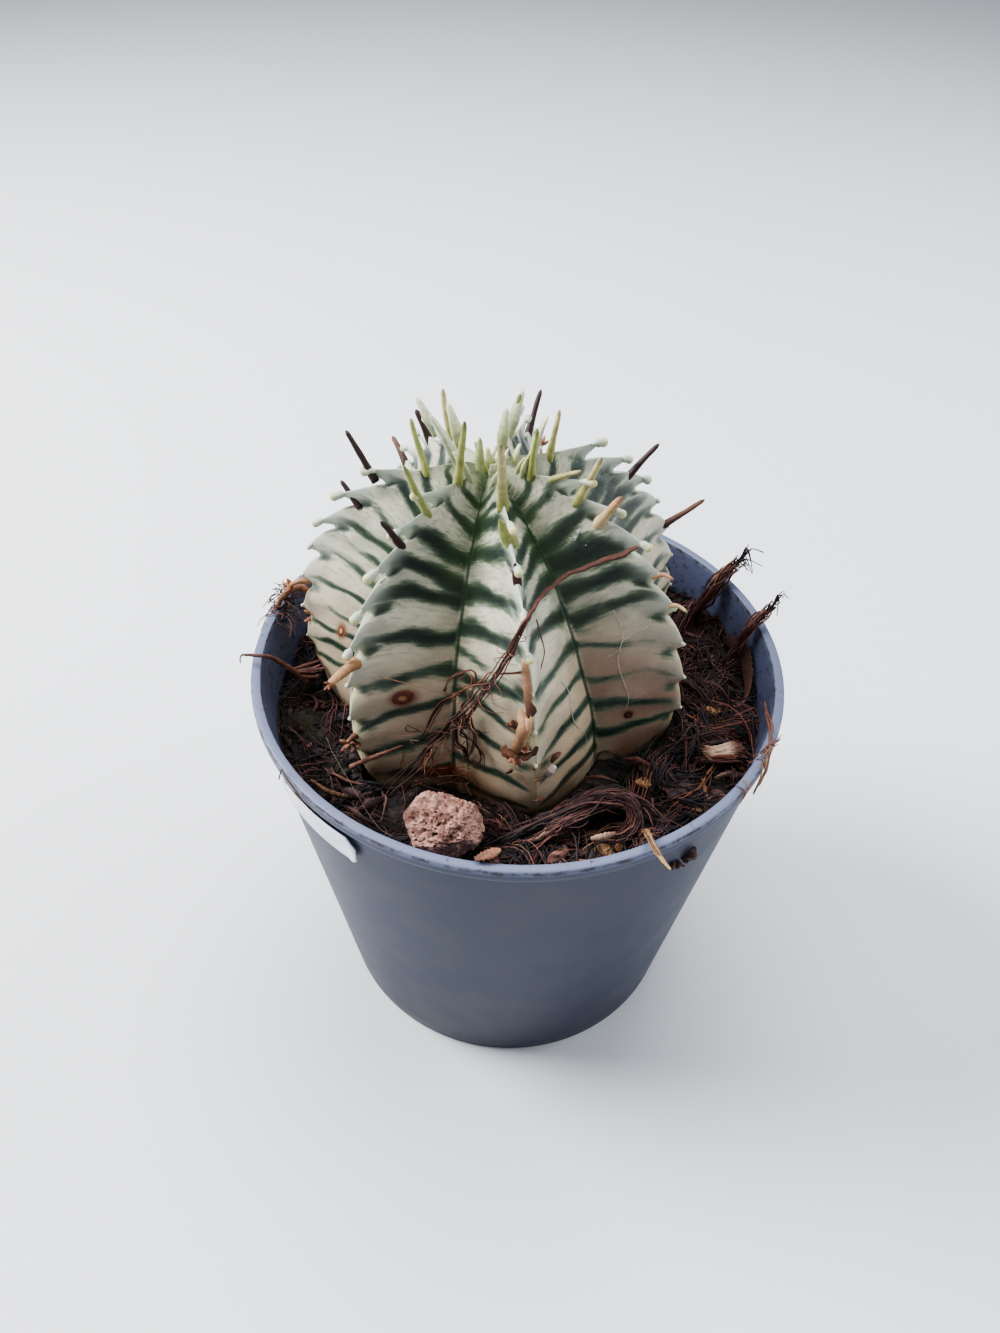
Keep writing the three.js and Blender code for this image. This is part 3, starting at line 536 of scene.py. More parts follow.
def smooth_route(route, count):
    """So many points on a smooth curve through the route."""
    route = np.asarray(route, float)
    ends = np.vstack([2 * route[0] - route[1], route, 2 * route[-1] - route[-2]])
    lengths = np.linalg.norm(np.diff(route, axis=0), axis=1)
    marks = np.concatenate([[0], np.cumsum(lengths)])
    wanted = np.linspace(0, marks[-1], count)
    leg = np.clip(np.searchsorted(marks, wanted, side="right") - 1, 0, len(route) - 2)
    t = ((wanted - marks[leg]) / np.maximum(lengths[leg], 1e-9))[:, None]
    a, b, c, d = (ends[leg + i] for i in range(4))
    return 0.5 * (2 * b + (c - a) * t + (2 * a - 5 * b + 4 * c - d) * t**2 + (3 * b - a - 3 * c + d) * t**3)


def frames_along(points, beside=None):
    """Directions across and above a line of points, which turn as little as they can along it."""
    along = np.gradient(points, axis=0)
    along /= np.linalg.norm(along, axis=1)[:, None] + 1e-12
    across = np.zeros_like(points)
    start = np.cross(along[0], [0, 0, 1.0]) if beside is None else np.asarray(beside, float)
    if np.linalg.norm(start) < 0.1:
        start = np.cross(along[0], [0, 1.0, 0])
    for i, direction in enumerate(along):
        start = start - direction * (start @ direction)
        start = start / np.linalg.norm(start)
        across[i] = start
    return across, np.cross(along, across)


def lay_rod(bm, template, points, radii, tints, flat=1.0, beside=None):
    """Adds a rod along points, one for each ring of the template, with a radius and a tint at each."""
    across, above = frames_along(points, beside)
    ring, place = template["ring"], template["place"]
    wide = (place[:, 0] * radii[ring])[:, None] * across[ring]
    high = (place[:, 1] * radii[ring] * flat)[:, None] * above[ring]
    add_moved(bm, template["mesh"], points[ring] + wide + high, tints[ring])


def blend(a, b, share):
    """One colour turning into another by share."""
    return np.asarray(as_colour(a)) * (1 - share) + np.asarray(as_colour(b)) * share


def even_tint(colour, count, end=None):
    """The same colour at each ring, or one that changes to the end colour."""
    return blend(colour, end or colour, np.linspace(0, 1, count)[:, None])


def noise_at(points, scale):
    return np.array([noise.noise(Vector(point) * scale) for point in points])


def drift_at(points, scale, beyond=(0, 0, 0)):
    """A smooth random offset at each place, from noise that starts beyond the origin."""
    return np.array([noise.noise_vector(Vector(point) * scale + Vector(beyond)) for point in points])


def round_about(across, above, swing, out, flat=1.0):
    """Offsets from a middle line: so far out, at an angle round it."""
    return across * (np.cos(swing) * out)[:, None] + above * (np.sin(swing) * out * flat)[:, None]


def wander(start, heading, length, count, bend, rise):
    """A curved route that wanders from start, on the level apart from its rise."""
    points, azimuth = [np.array(start, float)], heading
    turning = draw.gauss(0, bend)
    for _ in range(count - 1):
        turning = 0.6 * turning + draw.gauss(0, bend)
        azimuth += turning
        step = np.array([math.cos(azimuth), math.sin(azimuth), 0]) * length / (count - 1)
        points.append(points[-1] + step + [0, 0, rise / (count - 1)])
    return np.array(points)


def simple_rod(bm, route, radii, start, end, flat=1.0, rod=None, beside=None, rough=0.1):
    """A rod along a route, a little crooked and uneven, with its radii spread along it."""
    rod = rod or LONG_ROD
    rings = rod["count"]
    points = smooth_route(route, rings)
    kinks = drift_at(points, 0.9) * 0.08
    thick = np.interp(np.linspace(0, 1, rings), np.linspace(0, 1, len(radii)), radii)
    thick = thick * (1 + 0.2 * noise_at(points, 1.6) + rough * noise_at(points, 5))
    thick[-1] *= 0.5
    lay_rod(bm, rod, points + kinks, thick, even_tint(start, rings, end), flat, beside)


def finish_piece(name, bm, material, replaced=(), smooth=True):
    """The mesh as a named piece in metres, on the body, standing for the nodes it replaces."""
    bmesh.ops.scale(bm, vec=(MM, MM, MM), verts=bm.verts)
    mesh = mesh_from(bm, name)
    mesh.shade_smooth() if smooth else mesh.shade_flat()
    mesh.materials.append(material)
    piece = new_object(name, mesh)
    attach(piece, "root")
    if replaced:
        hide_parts(*replaced)
    return piece


def set_values(piece, **values):
    """Stores one number at each vertex under each name."""
    for name, numbers in values.items():
        layer = piece.data.attributes.new(name, "FLOAT", "POINT")
        layer.data.foreach_set("value", np.asarray(numbers, np.float32))


def ball_rows(bm, columns, rows):
    """Makes a ball of columns and rows and gives, for each vertex, its column and its row from the top."""
    bmesh.ops.create_uvsphere(bm, u_segments=columns, v_segments=rows, radius=1)
    place = np.array([v.co for v in bm.verts])
    row = np.round(np.arccos(np.clip(place[:, 2], -1, 1)) / math.pi * rows).astype(int)
    column = np.round(np.arctan2(place[:, 1], place[:, 0]) / (2 * math.pi) * columns).astype(int) % columns
    return column, row


def move_vertices(bm, places):
    for vertex, place in zip(bm.verts, places):
        vertex.co = place


# Shader helpers


def node(tree, kind, inputs=None, **settings):
    made = tree.nodes.new(kind)
    for name, value in settings.items():
        setattr(made, name, value)
    for key, value in (inputs or {}).items():
        plug(tree, made.inputs[key], value)
    return made


def plug(tree, socket, value):
    if isinstance(value, bpy.types.NodeSocket):
        tree.links.new(value, socket)
    elif value is not None:
        socket.default_value = as_colour(value)


def calc(tree, operation, a, b):
    return node(tree, "ShaderNodeMath", {0: a, 1: b}, operation=operation).outputs[0]


def times(tree, a, b):
    return calc(tree, "MULTIPLY", a, b)


def shift(tree, value, low, high, to_low=0.0, to_high=1.0):
    """A smooth step of the value from one range to another."""
    inputs = {"Value": value, "From Min": low, "From Max": high, "To Min": to_low, "To Max": to_high}
    return node(tree, "ShaderNodeMapRange", inputs, interpolation_type="SMOOTHSTEP").outputs[0]


def tinge(tree, share, a, b, mode="MIX"):
    """Colour a turning into colour b by share."""
    made = node(tree, "ShaderNodeMix", data_type="RGBA", blend_type=mode)
    for index, value in ((0, share), (6, a), (7, b)):
        plug(tree, made.inputs[index], value)
    return made.outputs[2]


def cloud(tree, vector, scale, detail, roughness=0.5, distortion=0.0):
    inputs = {"Vector": vector, "Scale": scale, "Detail": detail, "Roughness": roughness}
    return node(tree, "ShaderNodeTexNoise", inputs | {"Distortion": distortion}).outputs["Fac"]


def stretched(tree, vector, scale, turn=(0.0, 0.0, 0.0)):
    return node(tree, "ShaderNodeMapping", {"Vector": vector, "Scale": scale, "Rotation": turn}).outputs[0]


def value_of(tree, name):
    return node(tree, "ShaderNodeAttribute", attribute_name=name).outputs["Fac"]


def colour_of(tree, name):
    return node(tree, "ShaderNodeAttribute", attribute_name=name).outputs["Color"]


def object_place(tree):
    return node(tree, "ShaderNodeTexCoord").outputs["Object"]


def bump(tree, height, strength, distance):
    inputs = {"Height": height, "Strength": strength, "Distance": distance}
    return node(tree, "ShaderNodeBump", inputs).outputs[0]


def new_group(name, inputs, outputs):
    """A shader node group with named inputs and outputs, and its input and output nodes."""
    group = bpy.data.node_groups.new(name, "ShaderNodeTree")
    for socket, kind, value in inputs:
        made = group.interface.new_socket(name=socket, in_out="INPUT", socket_type=kind)
        if value is not None:
            made.default_value = value
    for socket, kind in outputs:
        group.interface.new_socket(name=socket, in_out="OUTPUT", socket_type=kind)
    return group, group.nodes.new("NodeGroupInput").outputs, group.nodes.new("NodeGroupOutput").inputs


def place_group(tree, group, **values):
    made = node(tree, "ShaderNodeGroup", node_tree=group)
    for name, value in values.items():
        plug(tree, made.inputs[name.replace("_", " ")], value)
    return made.outputs


NUMBER, ARROW = "NodeSocketFloat", "NodeSocketVector"


def specks_group():
    """Scattered small specks: a mask of dots with random sizes, thinned by Amount."""
    group, given, out = new_group(
        "Specks",
        [("Vector", ARROW, None), ("Scale", NUMBER, 500.0), ("Size", NUMBER, 0.2), ("Amount", NUMBER, 0.3)],
        [("Mask", NUMBER)],
    )
    cells = node(group, "ShaderNodeTexVoronoi", {"Vector": given["Vector"], "Scale": given["Scale"]})
    pick = node(group, "ShaderNodeSeparateColor", {0: cells.outputs["Color"]}).outputs[0]
    chosen = calc(group, "LESS_THAN", pick, given["Amount"])
    reach = times(group, given["Size"], calc(group, "ADD", 0.5, times(group, pick, 1.5)))
    near = calc(group, "LESS_THAN", cells.outputs["Distance"], reach)
    group.links.new(times(group, chosen, near), out["Mask"])
    return group


def grain_group():
    """Fine relief and colour mottle at two scales."""
    group, given, out = new_group(
        "Grain",
        [("Vector", ARROW, None), ("Scale", NUMBER, 800.0), ("Coarse", NUMBER, 0.5)],
        [("Height", NUMBER), ("Mottle", NUMBER)],
    )
    fine = cloud(group, given["Vector"], given["Scale"], 4.0, 0.6)
    broad = cloud(group, given["Vector"], times(group, given["Scale"], 0.12), 3.0, 0.55)
    mixed = node(group, "ShaderNodeMix", {0: given["Coarse"], 2: fine, 3: broad}).outputs[0]
    group.links.new(mixed, out["Height"])
    group.links.new(broad, out["Mottle"])
    return group


SPECKS, GRAIN = specks_group(), grain_group()


def new_material(name):
    """A new material with its node tree, its shader and the place on the object in metres."""
    material = bpy.data.materials.new(name)
    material.use_nodes = True
    tree = material.node_tree
    return material, tree, tree.nodes["Principled BSDF"], object_place(tree)


def grain_on(tree, place, scale, coarse):
    return place_group(tree, GRAIN, Vector=place, Scale=scale, Coarse=coarse)


def speckle(tree, under, place, scale, size, amount, strength, colour):
    """The colour under small scattered specks of another, and the specks' mask."""
    mask = place_group(tree, SPECKS, Vector=place, Scale=scale, Size=size, Amount=amount)["Mask"]
    return tinge(tree, times(tree, mask, strength), under, colour), mask


def surface(tree, shader, colour, roughness, normal=None, **plain):
    plug(tree, shader.inputs["Base Color"], colour)
    plug(tree, shader.inputs["Roughness"], roughness)
    plug(tree, shader.inputs["Normal"], normal)
    for name, value in plain.items():
        shader.inputs[name.replace("_", " ")].default_value = value


# Finishes


def pot_finish():
    """Matte blue-grey moulded plastic, faint scuffs, dirt under the lip; painted light on lip, rim top and
    inner wall; painted shade at the foot.
    """
    material, tree, shader, place = new_material("pot_plastic")
    axes = node(tree, "ShaderNodeSeparateXYZ", {0: place}).outputs
    grain = grain_on(tree, place, 1500.0, 0.35)
    wall = tinge(tree, shift(tree, grain["Mottle"], 0.35, 0.65), "20263c", "242b42")
    up = axes[2]
    # Painted shade: the wall turns a little darker and flatter towards its foot.
    wall = tinge(tree, shift(tree, up, 0.004, 0.024), "21263a", wall)
    scratches = cloud(tree, stretched(tree, place, (160.0, 160.0, 2600.0)), 1.0, 3.0, 0.6)
    wall = tinge(tree, shift(tree, scratches, 0.7, 0.78, 0.0, 0.22), wall, "5a6380")
    # Painted light: the lip is painted lighter than the wall, and the rim's top lighter still, as where light
    # falls on them.
    wall = tinge(tree, shift(tree, up, 0.0455, 0.0457), wall, "3a4056")
    top = shift(tree, up, 0.0464, 0.0468)
    wall = tinge(tree, top, wall, "666d84")
    wall, _ = speckle(tree, wall, place, 700.0, 0.16, 0.12, 0.75, "17161c")

    crumbs = cloud(tree, stretched(tree, place, (900.0, 900.0, 1400.0)), 1.0, 4.0, 0.7)
    under_lip = times(tree, shift(tree, up, 0.0449, 0.0455), shift(tree, up, 0.0459, 0.0456))
    wall = tinge(tree, times(tree, under_lip, shift(tree, crumbs, 0.48, 0.62)), wall, "33261f")
    wall = tinge(tree, times(tree, top, shift(tree, crumbs, 0.6, 0.7, 0.0, 0.8)), wall, "3b2f2c")
    edge = times(tree, shift(tree, up, 0.04655, 0.0468), shift(tree, up, 0.04708, 0.047))
    wall = tinge(tree, times(tree, edge, shift(tree, crumbs, 0.42, 0.6, 0.0, 0.8)), wall, "3b2f2c")

    flat = node(tree, "ShaderNodeCombineXYZ", {0: axes[0], 1: axes[1]}).outputs[0]
    out = node(tree, "ShaderNodeVectorMath", {0: flat}, operation="LENGTH").outputs["Value"]
    slope = (RIM_OUTER_RADIUS - LIP_OVERHANG - FOOT_RADIUS) / (POT_HEIGHT - LIP_HEIGHT)
    outside = calc(tree, "ADD", times(tree, up, slope), FOOT_RADIUS * MM)
    within = shift(tree, calc(tree, "SUBTRACT", outside, out), 0.0003, 0.0005)
    # Painted light: the inner wall below the rim is painted much lighter than the outer wall, mottled with
    # dirt.
    inner = tinge(tree, shift(tree, crumbs, 0.52, 0.7), "5c637f", "383542")
    wall = tinge(tree, times(tree, within, shift(tree, up, 0.0469, 0.0463)), wall, inner)
    rough = shift(tree, grain["Mottle"], 0.3, 0.7, 0.42, 0.47)
    surface(tree, shader, wall, rough, bump(tree, grain["Height"], 0.12, 0.0002), Specular_IOR_Level=0.3)
    return material


def label_finish():
    """Blank matt label paper, faintly mottled."""
    material, tree, shader, place = new_material("label_paper")
    grain = grain_on(tree, place, 2600.0, 0.4)
    paper = tinge(tree, shift(tree, grain["Mottle"], 0.4, 0.7), "e9eaf2", "d6d8e4")
    surface(tree, shader, paper, 0.5, bump(tree, grain["Height"], 0.15, 0.00005))
    return material


def peat_finish():
    """Almost black damp peat with brown crumbs and a little green algae."""
    material, tree, shader, place = new_material("peat")
    grain = grain_on(tree, place, 1500.0, 0.3)
    brown = tinge(tree, shift(tree, grain["Height"], 0.42, 0.68), "0e0c0e", "3c2a26")
    algae = shift(tree, cloud(tree, place, 190.0, 3.0), 0.48, 0.6, 0.0, 0.7)
    brown = tinge(tree, algae, brown, "20240f")
    brown, _ = speckle(tree, brown, place, 900.0, 0.25, 0.16, 0.5, "44301f")
    surface(tree, shader, brown, 0.9, bump(tree, grain["Height"], 0.8, 0.0006))
    return material


def skin_finish():
    """Waxy cream skin, feathered dark green bands, pale keel, valley lines partly painted crease shade,
    painted bounce and shade low down.
    """
    material, tree, shader, place = new_material("spurge_skin")
    stripe, share = value_of(tree, "stripe"), value_of(tree, "side_share")
    angle, tip = value_of(tree, "angle"), value_of(tree, "tip")
    along = times(tree, value_of(tree, "turn"), 13.0)
    across = times(tree, value_of(tree, "flow"), 0.85)
    brushed = node(tree, "ShaderNodeCombineXYZ", {0: along, 1: across}).outputs[0]
    feather = cloud(tree, brushed, 1.0, 4.0, 0.62, 0.25)
    mottle = cloud(tree, place, 300.0, 3.0, 0.55)
    patches = cloud(tree, place, 140.0, 2.0, 0.5)
    fine = cloud(tree, place, 2600.0, 3.0, 0.6)

    cream = tinge(tree, shift(tree, mottle, 0.34, 0.64), "a1a192", "c5c2ae")
    yellow = times(tree, shift(tree, angle, 50.0, 98.0, 0.1, 1.0), shift(tree, patches, 0.3, 0.7, 0.6, 1.0))
    cream = tinge(tree, yellow, cream, "bfa98b")
    # Pinkish brown low down: partly the skin's own tint, partly painted bounce light and shade, strongest on
    # the face turned to the front right.
    blush = times(tree, value_of(tree, "blush"), shift(tree, patches, 0.36, 0.64, 0.6, 1.0))
    cream = tinge(tree, blush, cream, "8b6a5c")
    veils = times(tree, shift(tree, feather, 0.48, 0.66), shift(tree, angle, 80.0, 30.0, 0.12, 0.6))
    cream = tinge(tree, veils, cream, "7a8779")

    worn = calc(tree, "ADD", stripe, times(tree, calc(tree, "SUBTRACT", feather, 0.5), 0.85))
    worn = calc(tree, "ADD", worn, times(tree, calc(tree, "SUBTRACT", mottle, 0.5), 0.55))
    edge = tinge(tree, shift(tree, worn, 0.04, 0.58), cream, "596754")
    band = tinge(tree, shift(tree, worn, 0.32, 0.9), edge, "2a362d")
    colour = tinge(tree, shift(tree, worn, 0.75, 1.25), band, "19231d")

    beside_valley = times(tree, shift(tree, angle, 70.0, 30.0, 0.15, 1.0), shift(tree, share, 0.62, 0.98))
    green = times(tree, beside_valley, shift(tree, feather, 0.25, 0.6, 0.2, 0.6))
    colour = tinge(tree, green, colour, "375229")
    crown = times(tree, shift(tree, angle, 22.0, 7.0), 0.4)
    colour = tinge(tree, crown, colour, "7c9163")
    # A dark green line along each valley: partly the skin's own colour, partly painted crease shade.
    valley_line_and_shade = times(tree, shift(tree, share, 0.972, 0.992), shift(tree, angle, 112.0, 100.0))
    colour = tinge(tree, times(tree, valley_line_and_shade, 0.85), colour, "1b3317")

    keel = times(tree, shift(tree, share, 0.15, 0.03), shift(tree, feather, 0.25, 0.6, 0.3, 0.85))
    keel_colour = tinge(tree, shift(tree, angle, 40.0, 85.0), "b3beab", "b8ad85")
    colour = tinge(tree, keel, colour, keel_colour)
    colour = tinge(tree, value_of(tree, "bloom"), colour, "c4cdc0")
    nub = tinge(tree, shift(tree, mottle, 0.4, 0.6), "cdc490", "bdbb8f")
    colour = tinge(tree, shift(tree, tip, 0.35, 0.85), colour, nub)
    stain = times(tree, value_of(tree, "stain"), shift(tree, mottle, 0.3, 0.6, 0.5, 0.95))
    colour = tinge(tree, stain, colour, "6d4028")
    # Brown towards the soil: partly soil stain, partly painted shade where the body meets the soil.
    patchy = shift(tree, patches, 0.35, 0.65, 0.25, 0.7)
    foot = times(tree, shift(tree, angle, 99.0, 107.0), patchy)
    colour = tinge(tree, foot, colour, "5e412b")

    colour, _ = speckle(tree, colour, place, 1050.0, 0.085, 0.16, 0.6, "dfe3d8")
    height = calc(tree, "ADD", times(tree, fine, 0.5), mottle)
    rough = shift(tree, mottle, 0.3, 0.7, 0.36, 0.5)
    surface(tree, shader, colour, rough, bump(tree, height, 0.3, 0.0003), IOR=1.42)
    return material


def tinted_finish(name, roughness, streak_scale, relief, darken, shade=(0.35, 0.68)):
    """Plant tissue whose own tint is stored on it, broken by fine streaks and dirt that darken it."""
    material, tree, shader, place = new_material(name)
    tint = colour_of(tree, TINT)
    grain = grain_on(tree, place, streak_scale, 0.3)
    darker = tinge(tree, 1.0, tint, darken + (1.0,), "MULTIPLY")
    colour = tinge(tree, shift(tree, grain["Height"], *shade), darker, tint)
    surface(tree, shader, colour, roughness, bump(tree, grain["Height"], relief, 0.0002))
    return material


def stone_finish():
    """Pinkish brown porous stone with pale grains, dusty hollows, and small pits painted dark as painted
    shade.
    """
    material, tree, shader, place = new_material("pinkish_stone")
    grain = grain_on(tree, place, 1300.0, 0.35)
    colour = tinge(tree, shift(tree, grain["Height"], 0.4, 0.6), "6d4c43", "b58d80")
    colour, _ = speckle(tree, colour, place, 1500.0, 0.3, 0.3, 0.55, "cda88d")
    turned = stretched(tree, place, (1.0, 1.0, 1.0), (0.4, 0.2, 0.9))
    # Painted shade: the small pits are painted dark as well as sunk in the relief.
    colour, pits = speckle(tree, colour, turned, 1150.0, 0.26, 0.34, 0.7, "3b2521")
    broad = cloud(tree, place, 330.0, 3.0, 0.6)
    colour = tinge(tree, shift(tree, broad, 0.5, 0.66, 0.0, 0.45), colour, "8d6052")
    height = calc(tree, "SUBTRACT", grain["Height"], times(tree, pits, 0.6))
    surface(tree, shader, colour, 0.95, bump(tree, height, 1.0, 0.0006))
    return material


def floor_finish():
    """Plain pale paper."""
    material, tree, shader, place = new_material("floor_paper")
    grain = grain_on(tree, place, 60.0, 0.5)
    surface(tree, shader, tinge(tree, grain["Mottle"], "d9dbde", "dfe1e4"), 0.9)
    return material


POT_PLASTIC = pot_finish()
LABEL_PAPER = label_finish()
PEAT = peat_finish()
SKIN = skin_finish()
STONE = stone_finish()
STALK = tinted_finish("stalk_skin", 0.6, 1600.0, 0.5, (0.62, 0.62, 0.62))
COIR = tinted_finish("coir_fibre", 0.75, 2200.0, 0.5, (0.45, 0.45, 0.45))
STRAW = tinted_finish("straw_fibre", 0.7, 1900.0, 0.5, (0.6, 0.6, 0.6))
TWIG = tinted_finish("twig_bark", 0.8, 1700.0, 0.6, (0.5, 0.5, 0.5))
BARK = tinted_finish("bark_fibre", 0.85, 1300.0, 0.8, (0.6, 0.6, 0.6))
SCAR = tinted_finish("scar_tissue", 0.7, 2400.0, 0.5, (0.55, 0.5, 0.5), (0.4, 0.65))

# The pot and its label


def make_pot():
    """The pot's wall, rim, lip and floor turned from their profile, with the drain holes cut in the floor."""
    lip_low, ring = POT_HEIGHT - LIP_HEIGHT, FOOT_RADIUS - FOOT_RING_WIDTH
    outer, inner, top = RIM_OUTER_RADIUS, RIM_INNER_RADIUS, POT_HEIGHT
    profile = [
        (0.0, FOOT_RECESS), (ring - 0.4, FOOT_RECESS), (ring, 0.12), (ring + 0.15, 0.0),
        (FOOT_RADIUS - 0.55, 0.0), (FOOT_RADIUS - 0.2, 0.08), (pot_wall_radius(0.4), 0.4),
    ]
    profile += [(pot_wall_radius(h), h) for h in np.linspace(2.5, lip_low, 18)]
    profile += [
        (outer - 0.2, lip_low + 0.05), (outer - 0.05, lip_low + 0.2), (outer, lip_low + 0.45),
        (outer, top - 0.3), (outer - 0.07, top - 0.1), (outer - 0.22, top - 0.01),
        (inner + 0.2, top), (inner + 0.05, top - 0.06), (inner - 0.02, top - 0.22),
    ]
    profile += [(pot_inner_radius(h), h) for h in np.linspace(top - 1, FLOOR_TOP + 0.5, 12)]
    profile += [(pot_inner_radius(FLOOR_TOP) - 0.5, FLOOR_TOP), (0.0, FLOOR_TOP)]
    bm = bmesh.new()
    points = [bm.verts.new((radius, 0, height)) for radius, height in profile]
    edges = [bm.edges.new(pair) for pair in zip(points, points[1:])]
    bmesh.ops.spin(
        bm, geom=points + edges, cent=(0, 0, 0), axis=(0, 0, 1), angle=2 * math.pi, steps=168, use_merge=True
    )
    bmesh.ops.remove_doubles(bm, verts=bm.verts, dist=0.01)
    bmesh.ops.recalc_face_normals(bm, faces=bm.faces)
    pot = finish_piece("pot_shell", bm, POT_PLASTIC, ["pot"])
    cut_drains(pot)


def cut_drains(pot):
    """Cuts the drain holes and stores the cut mesh on the pot."""
    bm = bmesh.new()
    for drain in range(DRAIN_COUNT):
        centre = polar(DRAIN_CIRCLE_RADIUS, (drain + 0.5) * 360 / DRAIN_COUNT, 0)
        bmesh.ops.create_cone(
            bm, cap_ends=True, segments=32, radius1=DRAIN_RADIUS, radius2=DRAIN_RADIUS, depth=8,
            matrix=Matrix.Translation(centre)
        )
    bmesh.ops.scale(bm, vec=(MM, MM, MM), verts=bm.verts)
    cutter = new_object("drain_cutters", mesh_from(bm, "drain_cutters"))
    cut = pot.modifiers.new("drains", "BOOLEAN")
    cut.operation, cut.object, cut.solver = "DIFFERENCE", cutter, "EXACT"
    made = bpy.data.meshes.new_from_object(pot.evaluated_get(bpy.context.evaluated_depsgraph_get()))
    pot.modifiers.clear()
    pot.data = made
    bpy.data.objects.remove(cutter)
    made.shade_smooth()
    made.set_sharp_from_angle(angle=math.radians(SHARP_EDGE))


def make_label():
    """A thin blank sheet that follows the wall, its right end cut to a blunt point and one corner lifted."""
    bm = bmesh.new()
    bmesh.ops.create_grid(bm, x_segments=36, y_segments=12, size=0.5)
    flat = np.array([v.co for v in bm.verts])
    along, up = flat[:, 0] + 0.5, flat[:, 1] + 0.5
    end = ease(along, 0.93, 1.0)
    bottom, top = LABEL_HEIGHTS
    low = bottom + end * 0.175 * (top - bottom)
    high = top - end * 0.35 * (top - bottom)
    height = low + (high - low) * up
    azimuth = LABEL_AZIMUTHS[0] + (LABEL_AZIMUTHS[1] - LABEL_AZIMUTHS[0]) * along
    lifted = 0.28 * ease(along, 0.86, 1.0) * (1 - up) + 0.16 * ease(along, 0.1, 0.0) * up
    move_vertices(bm, polar(pot_wall_radius(height) + 0.3 + lifted, azimuth, height))
    bmesh.ops.recalc_face_normals(bm, faces=bm.faces)
    bmesh.ops.solidify(bm, geom=bm.faces[:], thickness=0.16)
    bmesh.ops.recalc_face_normals(bm, faces=bm.faces)
    finish_piece("blank_label", bm, LABEL_PAPER, ["pot_label"])


make_pot()
make_label()

# The plant

PER_RIB = 56
FIRST_ANGLE, LAST_FINE_ANGLE, FINE_ROWS = 4, 116, 222
BURIED_ANGLES = (122, 130, 140)

# Bands on the faces that show. By rib and side (1 right, -1 left): angles at the ridge and at the valley
SEEN_BANDS = {
    (6, 1): [
        (28.5, 47), (39, 53), (49.4, 57.5), (63, 66.5),
        (77, 74.7), (90, 82), (99.8, 91.4), (109, 101.6),
    ],
    (0, -1): [
        (25.5, 35), (33, 45), (48.4, 55.3), (59.3, 64.2), (71, 69.7),
        (71, 76.5), (83.7, 79.8), (94.6, 86.3), (101, 97.5), (110, 106),
    ],
    (0, 1): [
        (25, 31), (37.5, 41), (45, 46), (51.4, 54), (58.5, 63),
        (71, 72.5), (81, 79.6), (90, 87.4), (98.5, 95.5), (108.8, 102.4),
    ],
    (1, -1): [
        (29, 45.6), (44.6, 51), (53.4, 58.8), (60.5, 66),
        (76, 73.2), (85.5, 82.6), (95, 90), (100.6, 98),
    ],
}
# By rib and side: which bands are faint, how wide a whole face has them, and how wide one band is
FAINT_BANDS = {(1, -1): (4, 5), (0, -1): (4,), (5, 1): (1, 3, 4, 6)}
FACE_WIDTHS = {(5, 1): 0.62, (5, -1): 0.8}
WIDE_BANDS = {
    (1, -1, 1): 1.8, (1, -1, 2): 1.15, (1, -1, 3): 1.1,
    (6, 1, 4): 1.25, (6, 1, 5): 1.1, (6, 1, 6): 1.45, (6, 1, 7): 1.35,
    (0, 1, 7): 1.15, (0, 1, 8): 1.15, (0, 1, 9): 1.2, (0, -1, 9): 1.2,
}


def bands_of(rib, side):
    """The bands of one face of a rib, each with its own width, strength and reach towards the ridge."""
    own = random.Random(101 * rib + (7 if side > 0 else 3))
    rows = SEEN_BANDS.get((rib, side))
    if rows is None:
        rows = []
        for tooth in teeth_of(rib):
            run = float(band_run(tooth))
            ridge = tooth + own.uniform(0, 2)
            rows.append((ridge, ridge + run + own.uniform(-0.8, 0.8)))
            if own.random() < 0.3:
                rows.append((ridge + 5.4, ridge + 5.2 + run))
    bands = []
    broad = FACE_WIDTHS.get((rib, side), 1.0)
    for ridge in (9, 16):
        valley, width, strength = ridge + own.uniform(17, 21), own.uniform(1.6, 2.3), own.uniform(0.8, 1.05)
        bands.append((ridge, valley, width, strength, own.uniform(0.1, 0.3), own.uniform(0, FULL_TURN)))
    for i, (ridge, valley) in enumerate(rows):
        upper = 1 - ease(ridge, 45, 80)
        width = broad * (1.55 + 1.1 * upper + 0.7 * (1 - ease(ridge, 25, 44)) + own.uniform(-0.25, 0.35))
        width *= WIDE_BANDS.get((rib, side, i), 1.0)
        strength = 0.9 + 0.2 * upper + own.uniform(-0.14, 0.08)
        reach = own.uniform(0.05, 0.28)
        if i in FAINT_BANDS.get((rib, side), ()):
            width, strength, reach = width * 0.85, strength * 0.75, reach + 0.35
        bands.append((ridge, valley, width, strength, reach, own.uniform(0, FULL_TURN)))
    return bands


